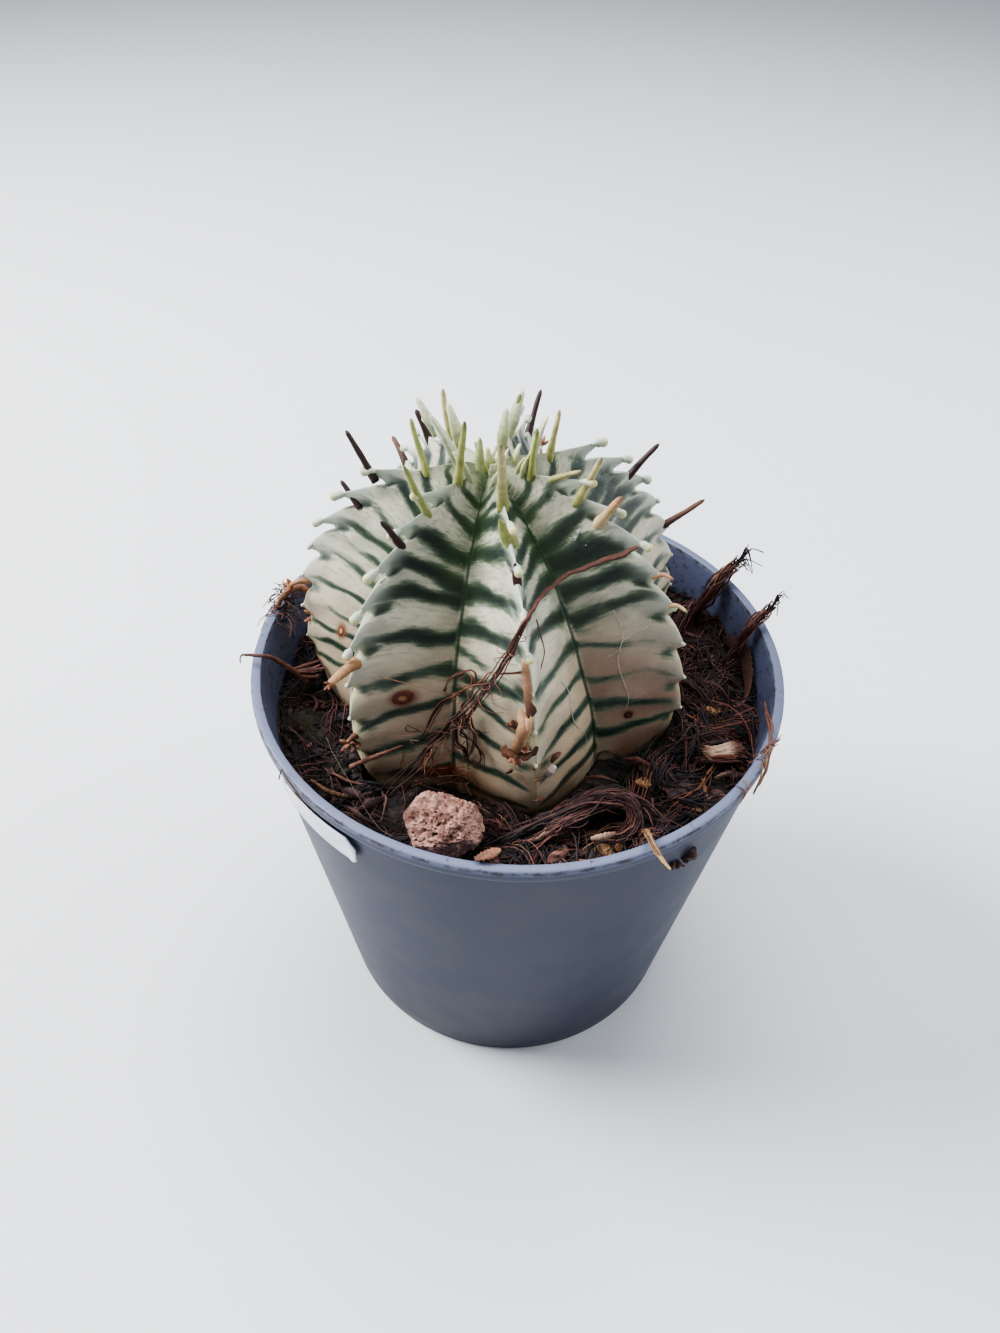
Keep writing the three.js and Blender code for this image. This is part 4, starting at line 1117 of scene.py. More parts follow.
def stripes(turn, angle):
    """How dark green the skin is at each place, from 0 to about 1."""
    _, side, share, rib = place_on_rib(turn)
    darkness = np.zeros_like(angle)
    for own in range(RIB_COUNT):
        for hand in (-1, 1):
            mine = (rib == own) & (side * hand >= 0)
            s, a = share[mine], angle[mine]
            dark = np.zeros_like(a)
            for ridge, valley, width, strength, reach, phase in bands_of(own, hand):
                middle = ridge + (valley - ridge) * s - BAND_ARCH * np.sin(math.pi * s**0.8)
                middle = middle + 0.5 * np.sin(5 * s + phase) + 0.3 * np.sin(13 * s + 2.3 * phase)
                half = width * (0.66 + 0.3 * s + 0.16 * np.sin(8 * s + 2 * phase))
                fade = ease(s, reach - 0.15, reach + 0.25)
                body = strength * bell(a - middle, half) * (0.45 + 0.55 * fade)
                dark = np.maximum(dark, body * ease(s, 0.03, 0.14))
            for tooth in teeth_of(own):
                patch = bell(a - tooth - 3.0, 1.9) * bell(s - 0.17, 0.13)
                dark = np.maximum(dark, (1.0 - 0.45 * ease(tooth, 50, 80)) * patch)
            near_valley = ease(s, 0.72, 1.0) * (1 - ease(a, 14, 36))
            darkness[mine] = np.maximum(dark, 0.5 * near_valley)
    return darkness


def make_body():
    """The ribbed body and taproot as one closed skin, from a ball whose columns crowd towards each ridge."""
    angles = list(np.linspace(FIRST_ANGLE, LAST_FINE_ANGLE, FINE_ROWS)) + list(BURIED_ANGLES)
    rows = 1 + len(angles) + len(TAPROOT)
    columns = RIB_COUNT * PER_RIB
    bm = bmesh.new()
    column, row = ball_rows(bm, columns, rows)
    within = (column % PER_RIB) / PER_RIB
    half = np.where(within < 0.5, 2 * within, 2 - 2 * within) ** 1.3 / 2
    # The first column is a ridge at the back; the turn numbers jump at the valley between ribs 3 and 4.
    turn = column // PER_RIB + np.where(within < 0.5, half, 1 - half)
    turn = np.where(turn >= RIB_COUNT / 2, turn - RIB_COUNT, turn)
    angle = np.zeros(len(row))
    places = np.zeros((len(row), 3))
    on_skin = (row > 0) & (row <= len(angles))
    angle[on_skin] = np.array(angles)[row[on_skin] - 1]
    places[on_skin] = skin(turn[on_skin], angle[on_skin])
    places[row == 0] = leaned(np.array([0, 0, GROWING_POINT_HEIGHT - 0.4]))
    angle[row > len(angles)] = 150
    for i, (radius, height) in enumerate(TAPROOT):
        ring = row == len(angles) + 1 + i
        places[ring] = leaned(polar(radius, FRONT_RIB_AZIMUTH + turn[ring] * RIB_TURN, height))
    places[row == rows] = leaned(np.array([0, 0, TAPROOT_TIP]))
    places[on_skin] += drift_at(places[on_skin], 0.22) * 0.16
    move_vertices(bm, places)
    body = finish_piece("spurge_body", bm, SKIN, ["spurge"])
    _, side, share, rib = place_on_rib(turn)
    dark = np.zeros(len(row))
    dark[on_skin] = stripes(turn[on_skin], angle[on_skin])
    set_values(body, stripe=dark, side_share=share, angle=angle, turn=turn, flow=band_flow(share, angle),
               tip=0.55 * beak_shape(rib, share, angle)[2], blush=blush_and_painted_bounce_at(rib, side, angle),
               bloom=bloom_at(rib, share, angle), stain=stain_at(turn, angle))


def blush_and_painted_bounce_at(rib, side, angle):
    """Pinkish brown low down: partly the skin's own tint, partly painted bounce light and shade, most on the
    face turned front right.
    """
    low = ease(angle, 52, 92)
    right_front = np.where((rib == 1) & (side < 0), 1.0, np.where((rib == 0) & (side > 0), 0.25, 0.3))
    return np.clip(low * right_front, 0, 0.85)


def stain_at(turn, angle):
    """The brown halo round each scar."""
    stain = np.zeros_like(angle)
    for scar_turn, scar_angle, wide, high, _, _ in SCARS:
        across, down = (turn - scar_turn) * MM_PER_RIB / wide, (angle - scar_angle) * 0.35 / high
        stain = np.maximum(stain, 1 - ease(np.hypot(across, down) / 1.75, 0.45, 1.0))
    return stain


def bloom_at(rib, share, angle):
    """The white bloom on top of each tubercle."""
    bloom = np.zeros_like(angle)
    for mine, _, tooth in each_tooth(rib):
        upper = 1 - 0.6 * ease(tooth, 45, 80)
        spot = bell(angle[mine] - tooth + 1.6, 3.2) * bell(share[mine], 0.19)
        bloom[mine] = np.maximum(bloom[mine], 0.8 * upper * spot)
    return bloom


LONG_ROD = rod_template(7, 60)
BUD_ROD = rod_template(12, 12)
STALK_ROD = rod_template(9, 14)
FINE_ROD = rod_template(5, 14)
HAIR_ROD = rod_template(3, 7)
CURL_ROD = rod_template(4, 26)


def round_end(out, start):
    """A thickness that is whole up to start and then rounds off to a small flat end."""
    return np.sqrt(np.clip(1 - np.clip((out - start) / (1 - start), 0, 1) ** 2 * 0.96, 0, 1))


def make_stubs():
    """The leaf stub at the end of each beak: a short cream nub, a little swollen at its tip."""
    bm = bmesh.new()
    tips, turns = [], []
    ring = BUD_ROD["ring"]
    count = BUD_ROD["count"]
    out = np.linspace(0, 1, count)
    for rib in range(RIB_COUNT):
        for tooth in teeth_of(rib):
            whole = tooth_length(tooth, rib)
            large = float(ease(whole, 0.4, 1.8))
            beyond = whole * (1 - BEAK_SHARE) * draw.uniform(0.8, 1.4) + 0.1 + 0.1 * large
            root = 0.3 + 0.1 * whole
            along = ridge_direction(rib, beak_angle(tooth) + draw.uniform(-9, 9), draw.uniform(-9, 9))
            start = skin(float(rib), float(tooth))
            points = start + np.outer(np.linspace(-root, beyond, count), along)
            points[:, 2] -= 0.2 * beyond * out**2
            size = (0.19 + 0.18 * large) * draw.uniform(0.88, 1.15)
            swollen = 0.4 + 0.66 * ease(out, 0, 0.4) + 0.1 * ease(out, 0.55, 0.8)
            lay_rod(bm, BUD_ROD, points, size * swollen * round_end(out, 0.74), even_tint(LEAF_TIP, count))
            tips.append((0.3 + (0.25 + 0.4 * large) * ease(out, 0.5, 0.9))[ring])
            turns.append(np.full(len(ring), float(rib)))
    piece = finish_piece("leaf_stubs", bm, SKIN)
    zeros = np.zeros(len(piece.data.vertices))
    set_values(piece, stripe=zeros, side_share=zeros, blush=zeros, bloom=zeros + 0.3, stain=zeros,
               angle=zeros + 40, flow=zeros + 40, turn=np.concatenate(turns), tip=np.concatenate(tips))


# Threads on the skin. Each row: rib, then side of it and angle at the start, and at the end
PALE_THREADS = [(1, -0.3, 63, -0.36, 92), (0, 0.3, 74, 0.42, 98), (1, -0.14, 66, -0.4, 76)]

# Flower stalks. Each row: turn, angle, length, radius, lean sideways, droop, colour at foot and end, cup size
STALKS = [
    (0, 17, 7.4, 0.52, -2, 0, GREEN_STALK, CREAM_STALK, 0),
    (0, 28, 2.5, 0.75, -20, 0, GREEN_STALK, GREEN_STALK, 0),
    (0, 39, 2.2, 0.42, -4, 0, RED_STALK, DARK_STALK, 0),
    (1, 10, 5, 0.42, -4, 0, GREEN_STALK, GREEN_STALK, 0),
    (1, 24, 4.9, 0.5, 3, 0, GREEN_STALK, CREAM_STALK, 0),
    (0.93, 34, 4, 0.6, -4, 0, CREAM_STALK, PINK_STALK, 0),
    (1, 52, 1.5, 0.27, -8, 0.9, PINK_STALK, TAN_STALK, 0),
    (1, 62, 1.5, 0.25, -6, 0.9, PINK_STALK, CREAM_STALK, 0),
    (1, 16, 2.8, 0.34, 0, 0, GREEN_STALK, CREAM_STALK, 0),
    (2, 15, 4.3, 0.42, 4, 0, GREEN_STALK, CREAM_STALK, 0),
    (2, 43, 4, 0.42, -6, 0, DARK_STALK, DARK_STALK, 0),
    (2, 67, 4.8, 0.42, -3, 0, DARK_STALK, BROWN_STALK, 0),
    (3, 16, 3.6, 0.4, -14, 0, GREEN_STALK, GREEN_STALK, 0),
    (3, 38, 4.6, 0.42, -8, 0, DARK_STALK, DARK_STALK, 0),
    (3, 58, 3, 0.4, 6, 0.6, TAN_STALK, BROWN_STALK, 0.9),
    (4, 16, 4.8, 0.42, -2, 0, GREEN_STALK, CREAM_STALK, 0),
    (4, 29, 3, 0.45, 6, 0, DARK_STALK, DARK_STALK, 0),
    (4, 51, 3.4, 0.45, -5, 0.4, DARK_STALK, BROWN_STALK, 0),
    (5, 15, 4.8, 0.42, -16, 0, GREEN_STALK, GREEN_STALK, 0),
    (5, 26, 4.7, 0.45, -10, 0, DARK_STALK, DARK_STALK, 0),
    (5, 38, 2.4, 0.42, -24, 0, DARK_STALK, DARK_STALK, 0),
    (5, 71, 2.3, 0.42, 14, 1, TAN_STALK, TAN_STALK, 0.8),
    (6, 10, 7.8, 0.45, 20, 0, GREEN_STALK, GREEN_STALK, 0),
    (6, 22, 6.2, 0.42, 3, 0, GREEN_STALK, GREEN_STALK, 0),
    (6, 33, 4.8, 0.47, 10, 0, DARK_STALK, DARK_STALK, 0),
    (6, 67, 4.6, 0.6, 18, 0.8, TAN_STALK, PINK_STALK, 0.5),
    (6, 90, 1.3, 0.36, 0, 0.4, BROWN_STALK, BROWN_STALK, 0.8),
]
# By a stalk's turn and angle: where it points, how flat it is, and whether it tapers at both ends
POINTING = {(0, 28): -4, (0, 39): 2, (1, 16): 62}
FLATTENED = {(0, 28): 0.4, (0, 39): 0.5}
TAPERED = {(0, 28), (0, 39)}

# Young leaves. Each row: turn, angle, length, half width, lean sideways, curl
YOUNG_LEAVES = [
    (0, 8, 2.2, 0.5, 20, 0), (1, 8, 2.6, 0.6, 0, 0.4), (2, 10, 4.2, 0.65, 0, 0.6), (3, 9, 3.6, 0.6, -4, 0.4),
    (3, 15, 4.6, 0.7, -14, 0.7), (4, 12, 4.4, 0.7, 0, 0.6), (4, 22, 3.6, 0.6, 8, 0.5),
    (5, 7, 6, 0.75, 8, 0.8), (6, 7, 3.2, 0.6, -8, 0.4), (6.3, 7, 4.8, 0.5, 12, 0.3),
]


def horn_points(base, along, bend, length, root, droop, count):
    """The middle line of a stalk: from inside the skin, out along its direction, sagging towards bend."""
    out = np.linspace(-root, length, count)
    share = np.clip(out, 0, None) / length
    towards = bend - along * (bend @ along)
    towards = towards / (np.linalg.norm(towards) + 1e-9)
    sag = droop * share**2
    return base + np.outer(out - 0.35 * sag, along) + np.outer(sag, towards)


def make_stalks():
    """The remains of flower stalks: fresh ones green, old ones dried dark or tan and broken off unevenly."""
    bm = bmesh.new()
    count = STALK_ROD["count"]
    down = np.array([0, 0, -1.0])
    share = np.linspace(0, 1, count)
    for turn, angle, length, radius, sideways, droop, foot, end, cup in STALKS:
        along = ridge_direction(turn, POINTING.get((turn, angle), min(angle, 80)), sideways)
        points = horn_points(skin(float(turn), float(angle)), along, down, length, 0.8, droop, count)
        points = points + drift_at(points, 0.4) * (0.16 * share**1.5)[:, None]
        uneven = 1 + 0.12 * noise_at(points, 0.9)
        swell = 0.05 if foot == DARK_STALK else 0.15
        collar = 1 + swell * bell(share * (length + 0.8) - 0.8, 0.5)
        radii = radius * uneven * collar * (1.06 - 0.5 * share)
        if (turn, angle) in TAPERED:
            radii = radius * np.sin(0.7 + 2.35 * share)
        radii[-1] *= 0.45
        flat = FLATTENED.get((turn, angle), 0.86)
        lay_rod(bm, STALK_ROD, points, radii, stalk_tint(foot, end, count), flat, ridge_frame(turn)[1])
        if cup:
            add_cup(bm, points[-1], along, cup, 5)
    for turn, angle, size, petals in ((-1, 92, 0.9, 4), (-2, 84, 0.8, 3), (0, 88, 0.5, 2)):
        add_cup(bm, skin(float(turn), float(angle), 0.1), ridge_frame(turn)[0], size, petals)
    finish_piece("flower_stalks", bm, STALK)


def stalk_tint(foot, end, count):
    """A stalk's colour: its foot and its end, with a darker dried edge where it broke off."""
    tint = even_tint(foot, count, end)
    tint[-1] = tint[-1] * 0.35
    tint[-2] = tint[-2] * 0.75
    return tint


def add_cup(bm, centre, outward, size, petals):
    """A dried cup: curled brown bracts round the end of a stalk."""
    count = FINE_ROD["count"]
    outward = np.asarray(outward) / np.linalg.norm(outward)
    across = np.cross(outward, [0.3, 0.1, 1.0])
    across = across / np.linalg.norm(across)
    above = np.cross(outward, across)
    for petal in range(petals):
        swing = 2 * math.pi * (petal + draw.uniform(-0.35, 0.35)) / petals
        sideways = across * math.cos(swing) + above * math.sin(swing)
        reach = size * draw.uniform(0.7, 1.2)
        middle = centre + sideways * reach * 0.55 + outward * reach * 0.1
        tip = centre + sideways * reach * 0.9 + outward * reach * draw.uniform(0.2, 0.75)
        points = smooth_route([centre - outward * 0.35, middle, tip], count)
        radii = size * 0.36 * np.sin(np.linspace(0.6, 2.7, count))
        colour = draw.choice(("5a2f1d", "7a452b", "3d2017", "935a38"))
        end = draw.choice(("8a5534", "a8754c", "5a3020"))
        lay_rod(bm, FINE_ROD, points, radii, even_tint(colour, count, end), flat=0.3)


def make_front_remains():
    """Flower remains on the front ridge: a dried strip, a forked stub, husks and a white scrap."""
    bm = bmesh.new()
    pink, tan, brown, dark = "b08465", "ba8f66", "6a3f27", "361a12"
    rods = [
        ([(0.6, -13.4, 58.9), (0.9, -15.0, 57.6), (1.1, -15.9, 56.3), (1.2, -16.4, 54.6)],
            (0.3, 0.42, 0.36, 0.16), pink, brown, 0.4),
        ([(1.3, -16.0, 56.2), (1.6, -16.2, 55.4), (1.5, -16.3, 54.7)], (0.15, 0.3, 0.16), brown, dark, 0.5),
        ([(0.6, -14.8, 54.0), (0.7, -16.5, 53.5), (0.45, -16.9, 52.0), (0.15, -16.9, 50.6),
            (0.0, -16.8, 49.5)], (0.5, 0.52, 0.46, 0.46, 0.3), tan, brown, 0.7),
        ([(1.2, -15.0, 54.2), (1.15, -16.4, 53.7), (0.85, -16.8, 52.4), (0.4, -16.9, 50.8)],
            (0.4, 0.4, 0.36, 0.26), pink, tan, 0.7),
        ([(0.0, -17.0, 49.7), (-0.5, -16.8, 50.1), (-1.1, -16.3, 50.7)],
            (0.2, 0.5, 0.34), "7a4a2e", brown, 0.16),
        ([(0.3, -17.2, 50.2), (-0.2, -17.2, 50.6), (-0.5, -17.0, 51.2)], (0.2, 0.34, 0.22), tan, brown, 0.2),
        ([(0.4, -17.0, 50.4), (1.1, -17.2, 50.4), (1.6, -17.1, 50.8)], (0.25, 0.4, 0.26), dark, brown, 0.3),
        ([(1.3, -17.0, 50.3), (1.8, -17.0, 50.8), (2.1, -16.7, 51.3)], (0.2, 0.34, 0.2), brown, dark, 0.3),
        ([(-0.8, -15.3, 52.6), (-0.3, -15.6, 52.8), (0.2, -15.8, 52.6)], (0.16, 0.34, 0.2), brown, dark, 0.3),
        ([(-0.1, -16.5, 47.7), (-0.3, -16.4, 47.2), (-0.6, -16.3, 46.8)], (0.1, 0.17, 0.12), dark, dark, 0.8),
        ([(4.3, -14.9, 48.5), (3.9, -15.5, 48.6), (3.5, -16.0, 48.3)], (0.2, 0.34, 0.2), brown, dark, 0.5),
        ([(3.3, -16.4, 46.9), (3.5, -16.3, 47.5), (3.8, -16.0, 48.0)],
            (0.25, 0.4, 0.3), "b99a92", "d8c9c4", 0.6),
        ([(2.9, -16.9, 47.3), (2.4, -17.2, 47.3), (2.0, -17.4, 47.2)], (0.15, 0.25, 0.15), dark, brown, 0.6),
        ([(3.0, -16.9, 44.4), (2.5, -17.2, 44.3), (2.0, -17.3, 44.2)], (0.12, 0.24, 0.15), brown, dark, 0.6),
    ]
    for route, radii, start, end, flat in rods:
        simple_rod(bm, route, radii, start, end, flat, STALK_ROD, (1, 0, 0.2), 0.3)
    add_cup(bm, np.array([0.05, -17.0, 49.7]), (-0.1, -0.7, -0.7), 0.8, 5)
    add_cup(bm, np.array([1.2, -16.9, 51.1]), (0.3, -0.8, -0.4), 0.6, 4)
    add_cup(bm, np.array([-0.3, -15.7, 52.7]), (-0.4, -0.8, 0.1), 0.45, 4)
    finish_piece("dried_flower_remains", bm, STALK)


def make_young_leaves():
    """The young leaves round the growing point, slender and pale-tipped, over small crowded buds."""
    bm = bmesh.new()
    rows = [row + (False,) for row in YOUNG_LEAVES]
    for i in range(14):
        turn, angle = i / 2 + draw.uniform(-0.2, 0.2), draw.uniform(2, 10)
        length, half_width = draw.uniform(0.8, 2.0), draw.uniform(0.32, 0.5)
        rows.append((turn, angle, length, half_width, draw.uniform(-10, 10), draw.uniform(0, 0.4), True))
    count = BUD_ROD["count"]
    out = np.linspace(0, 1, count)
    for turn, angle, length, half_width, sideways, curl, small in rows:
        along = ridge_direction(turn, angle + (8 if small else 6), sideways)
        outward, across, _ = ridge_frame(turn)
        base = skin(float(turn), max(angle, 4.0))
        points = horn_points(base, along, outward, length, 1.0, curl, count)
        width = 0.62 + 0.5 * bell(out - 0.42, 0.3) - 0.12 * out
        radii = 0.92 * half_width * width * round_end(out, 0.86)
        green = draw.choice(("8fa274", "a3b086", "b9bf9a", "9aa860"))
        tip = draw.choice(("dfe0b4", "d6da98", "e6e4c8"))
        lay_rod(bm, BUD_ROD, points, radii, even_tint(green, count, tip), 0.55, across)
    finish_piece("young_leaves", bm, STALK)


# Healed scars. Each row: turn, angle, half length along the face, half height, rim colour, middle colour
SCARS = [
    (-1 + 0.28, 79.1, 0.95, 0.72, "6a3520", "c09468"),
    (-2 + 0.35, 81.1, 0.45, 0.7, "7c4a2c", "d0b792"),
    (1 - 0.33, 93.6, 0.42, 0.42, "4a1610", "7a3a2a"),
    (0 - 0.135, 78.8, 0.5, 0.45, "5a2f1c", "8a5a38"),
    (-1 + 0.03, 43.7, 0.32, 0.32, "4a1814", "7a3028"),
    (-1 + 0.44, 103, 1.3, 0.6, "7a3a1a", "8f5526"),
]


def make_scars():
    """Healed scars as thin discs that follow the skin, each with a raised rust ring."""
    bm = bmesh.new()
    for turn, angle, wide, high, rim, middle in SCARS:
        disc = bmesh.new()
        bmesh.ops.create_uvsphere(disc, u_segments=28, v_segments=14, radius=1)
        place = np.array([v.co for v in disc.verts])
        reach = np.hypot(place[:, 0], place[:, 1])
        ring = bell(reach - 0.62, 0.2)
        lift = np.sign(place[:, 2]) * (0.03 + 0.12 * ring) * (1 - reach**4)
        skin_turn = turn + place[:, 0] * wide / MM_PER_RIB
        skin_angle = angle - place[:, 1] * high * 2.85
        mesh = mesh_from(disc, "scar", tinted=True)
        share = (ease(reach, 0.2, 0.45) * (1 - 0.4 * ease(reach, 0.85, 1.0)))[:, None]
        add_moved(bm, mesh, skin(skin_turn, skin_angle, lift + 0.02), blend(middle, rim, share))
        bpy.data.meshes.remove(mesh)
    finish_piece("healed_scars", bm, SCAR)


make_body()
make_stubs()
make_stalks()
make_front_remains()
make_young_leaves()
make_scars()

# The peat and what lies on it


def make_peat():
    """The peat plug: a rough crumbly top with the plant's hole in it, and plain sides against the pot."""
    columns, top_rows = 250, 84
    rows = top_rows + 4
    bm = bmesh.new()
    column, row = ball_rows(bm, columns, rows)
    azimuth = 360 * column / columns
    low = FLOOR_TOP + 0.3
    edge = pot_inner_radius(SOIL_LEVEL) - 0.36
    radius = edge * np.clip(row / top_rows, 0, 1)
    places = polar(radius, azimuth, 0.0)
    height = soil_top(places[:, 0], places[:, 1])
    here = upright(np.column_stack([places[:, :2], np.full(len(row), 41.0)]))
    share = np.hypot(here[:, 0], here[:, 1]) / girth_towards(here)
    drop = np.interp(share, [0, 0.1, 0.2, 0.35, 0.6, 0.8, 0.93, 1.0], [33, 29, 23, 18, 12.5, 7, 1.2, 0])
    rough = ease(share, 0.9, 1.02) * (1 - ease(row / top_rows, 0.97, 1.0))
    for i in np.flatnonzero(row <= top_rows):
        x, y = places[i, 0], places[i, 1]
        crumb = noise.fractal(Vector((x * 0.4, y * 0.4, 1.7)), 0.75, 2.0, 6)
        clod = noise.voronoi(Vector((x * 0.7, y * 0.7, 0.3)))[0][0]
        height[i] += rough[i] * (0.5 * crumb + 0.55 * (0.4 - clod)) - drop[i]
    places[:, 2] = height
    for offset, out, up in ((0, 0.0, SOIL_LEVEL - 1.5), (1, 0.0, low + 0.6), (2, -0.6, low)):
        ring = row == top_rows + offset + 1
        places[ring] = polar(pot_inner_radius(up) - 0.36 + out, azimuth[ring], up)
    places[row == rows] = (0, 0, low)
    move_vertices(bm, places)
    finish_piece("peat_plug", bm, PEAT, ["soil"])


def on_soil(x, y, lift):
    return float(soil_top(x, y)) + lift


def ring_place(low_azimuth, high_azimuth):
    """A random place on the soil between the plant and the wall, within two azimuths."""
    azimuth = draw.uniform(low_azimuth, high_azimuth)
    radius = LITTER_RADIUS * math.sqrt(draw.uniform(0.45, 1.0))
    x, y = radius * math.cos(math.radians(azimuth)), radius * math.sin(math.radians(azimuth))
    return clear_of_plant(x, y, 0.3)


def make_coir_mat(name, clumps, azimuths, palette, lengths, radii, lift, arch):
    """Matted coir over the peat: clumps of fibres that run the same way, each on its own bent course."""
    bm = bmesh.new()
    rings, origin = HAIR_ROD["count"], (0, 0, 0)
    for _ in range(clumps):
        x, y = ring_place(*azimuths)
        heading, length = draw.uniform(0, 2 * math.pi), draw.uniform(*lengths)
        course = wander(origin, heading, length, rings, 0.13, 0)
        tones = [draw.choice(palette), draw.choice(palette)]
        height, rise = abs(draw.gauss(0, lift)), max(0, draw.gauss(0, arch))
        for _ in range(draw.randint(3, 9)):
            start = np.array([x + draw.gauss(0, 0.5), y + draw.gauss(0, 0.5), 0])
            askew = heading + draw.gauss(0, 0.5)
            stray = wander(origin, askew, length * draw.uniform(0.3, 1), rings, 0.2, 0)
            mix = draw.uniform(0.1, 0.6)
            route = start + course * (1 - mix) + stray * mix
            lay_fibre(bm, route, draw.choice(tones), draw.uniform(*radii), height, rise)
    finish_piece(name, bm, COIR)


def lay_fibre(bm, route, colour, thick, height, rise):
    """One fibre on the soil along a level route, kept out of the plant and the pot."""
    rings = len(route)
    high = height + draw.uniform(-0.15, 0.25)
    for i, point in enumerate(route):
        x, y = clear_of_plant(point[0], point[1], 0.1)
        level = on_soil(x, y, 0.08 + max(0, high) + rise * math.sin(math.pi * i / (rings - 1)))
        x, y = clear_of_wall(x, y, min(level, POT_HEIGHT - 0.1), 0.15)
        route[i] = (x, y, level)
    flat = draw.choice((1.0, 1.0, 0.5, 0.35))
    taper = thick * np.linspace(1, draw.uniform(0.3, 0.9), rings)
    shade = draw.uniform(0.7, 1.45)
    shaded = tuple(part * shade for part in as_colour(colour))
    lay_rod(bm, HAIR_ROD, route, taper, even_tint(shaded, rings), flat)


def make_crumbs():
    """Crumbs of peat and bits of bark over the soil, and the few that cling to the pot's outside."""
    bm = bmesh.new()
    templates = []
    for detail in (1, 2):
        shape = bmesh.new()
        bmesh.ops.create_icosphere(shape, subdivisions=detail, radius=1)
        mesh = mesh_from(shape, "crumb", tinted=True)
        templates.append((mesh, places_in(mesh)))

    def drop(detail, x, y, height, size, flat, colour):
        mesh, ball = templates[detail]
        offset = Vector((draw.uniform(0, 50), draw.uniform(0, 50), 0))
        rough = np.array([1 + 0.45 * noise.noise(Vector(p) * 1.3 + offset) for p in ball])
        turned = ball * rough[:, None] * [size, size * draw.uniform(0.5, 1), size * flat]
        about_z, about_x = draw.uniform(0, FULL_TURN), draw.gauss(0, 0.5)
        spin = Matrix.Rotation(about_z, 3, "Z") @ Matrix.Rotation(about_x, 3, "X")
        tints = np.tile(as_colour(colour), (len(ball), 1))
        add_moved(bm, mesh, turned @ np.array(spin).T + (x, y, height), tints)

    browns = COIR_DARK * 3 + COIR_BROWN[:3]
    for _ in range(1500):
        x, y = ring_place(0, 360)
        size = 0.16 + 0.5 * draw.random() ** 3
        x, y = clear_of_wall(x, y, LITTER_HEIGHT, size + 0.1)
        drop(0, x, y, on_soil(x, y, 0.3 * size), size, draw.uniform(0.5, 1), draw.choice(browns))
    chips = COIR_BROWN + COIR_DARK + COIR_TAN[:1]
    for _ in range(70):
        x, y = ring_place(-110, 60)
        size = draw.uniform(0.5, 1.1)
        x, y = clear_of_wall(x, y, LITTER_HEIGHT, size + 0.1)
        drop(1, x, y, on_soil(x, y, 0.25 * size), size, draw.uniform(0.25, 0.6), draw.choice(chips))
    for azimuth, height, size in CLINGING_CRUMBS:
        drop(1, *polar(pot_wall_radius(height) + 0.25 * size, azimuth, height), size, 0.8, "4a3026")
    finish_piece("peat_crumbs", bm, COIR, smooth=False)


def make_stone():
    """The porous stone: a rough angular lump with pits and grains."""
    bm = bmesh.new()
    bmesh.ops.create_icosphere(bm, subdivisions=7, radius=1)
    cuts = [Vector(cut).normalized() for cut in STONE_CUTS]
    for vertex in bm.verts:
        way = vertex.co.normalized()
        x, y, z = way
        wave = math.sin(4 * x + 3 * y + 1) + math.sin(2 * x + 5 * z) + 0.6 * math.sin(7 * y - 3 * x)
        size = 1.04 + 0.05 * wave
        for cut in cuts:
            facing = way.dot(cut)
            if facing > 0.8:
                size = min(size, 0.84 / facing)
        place = way * Vector(STONE_HALF) * size
        rough = noise.fractal(place * 0.85, 0.7, 2.1, 6)
        pits = max(0.0, noise.noise(place * 2.1) - 0.18) + 0.6 * max(0.0, noise.noise(place * 4.3) - 0.2)
        vertex.co = place + way * (0.22 * rough - 0.75 * pits + 0.05) + Vector(STONE_CENTRE)
    finish_piece("porous_stone", bm, STONE, ["stone"])


def make_bark_scrap():
    """The torn cream scrap of bark, with brown strips of bast curling round it."""
    bm = bmesh.new()
    bmesh.ops.create_icosphere(bm, subdivisions=5, radius=1)
    bmesh.ops.scale(bm, vec=BARK_HALF, verts=bm.verts)
    tints = []
    for vertex in bm.verts:
        place = vertex.co.copy()
        ripple = noise.fractal(place * Vector((0.6, 2.4, 2.4)), 0.8, 2.0, 5)
        fleck = noise.noise(place * Vector((1.3, 3, 3)))
        middle = math.exp(-(((place.x + 0.5) / 1.3) ** 4) - (place.y + 0.1) ** 4)
        tints.append(blend("5a3626", "d9b9a0", middle * ease(place.z + 0.5 * fleck, 0.05, 0.5)))
        curl = 0.22 * math.sin(place.x * 1.6)
        vertex.co = place * (0.92 + 0.3 * ripple) + Vector((0, curl * 0.4, curl)) + Vector(BARK_CENTRE)
    lump = mesh_from(bm, "bark_lump", tinted=True)
    set_tints(lump, tints)
    whole = bmesh.new()
    whole.from_mesh(lump)
    bpy.data.meshes.remove(lump)
    x, y, z = BARK_CENTRE
    for i in range(18):
        side = -1 if i % 2 else 1
        lift = draw.uniform(0.1, 0.55)
        route = [
            (x - draw.uniform(1.6, 3.2), y + side * draw.uniform(0.3, 1.1), z - 0.6 + 0.3 * lift),
            (x - 0.6, y + side * draw.uniform(0.9, 1.4), z + lift),
            (x + 0.9, y + side * draw.uniform(0.7, 1.3), z + 0.9 * lift),
            (x + draw.uniform(1.8, 2.9), y + side * draw.uniform(-0.2, 0.8), z - 0.5 + 0.4 * lift),
        ]
        colour = draw.choice(COIR_BROWN + COIR_RED[:2] + COIR_DARK[:1])
        radii = (0.08, draw.uniform(0.1, 0.26), 0.08)
        simple_rod(whole, route, radii, colour, colour, draw.choice((0.3, 0.5, 1.0)), FINE_ROD)
    finish_piece("bark_scrap", whole, BARK, ["bark_chip"])


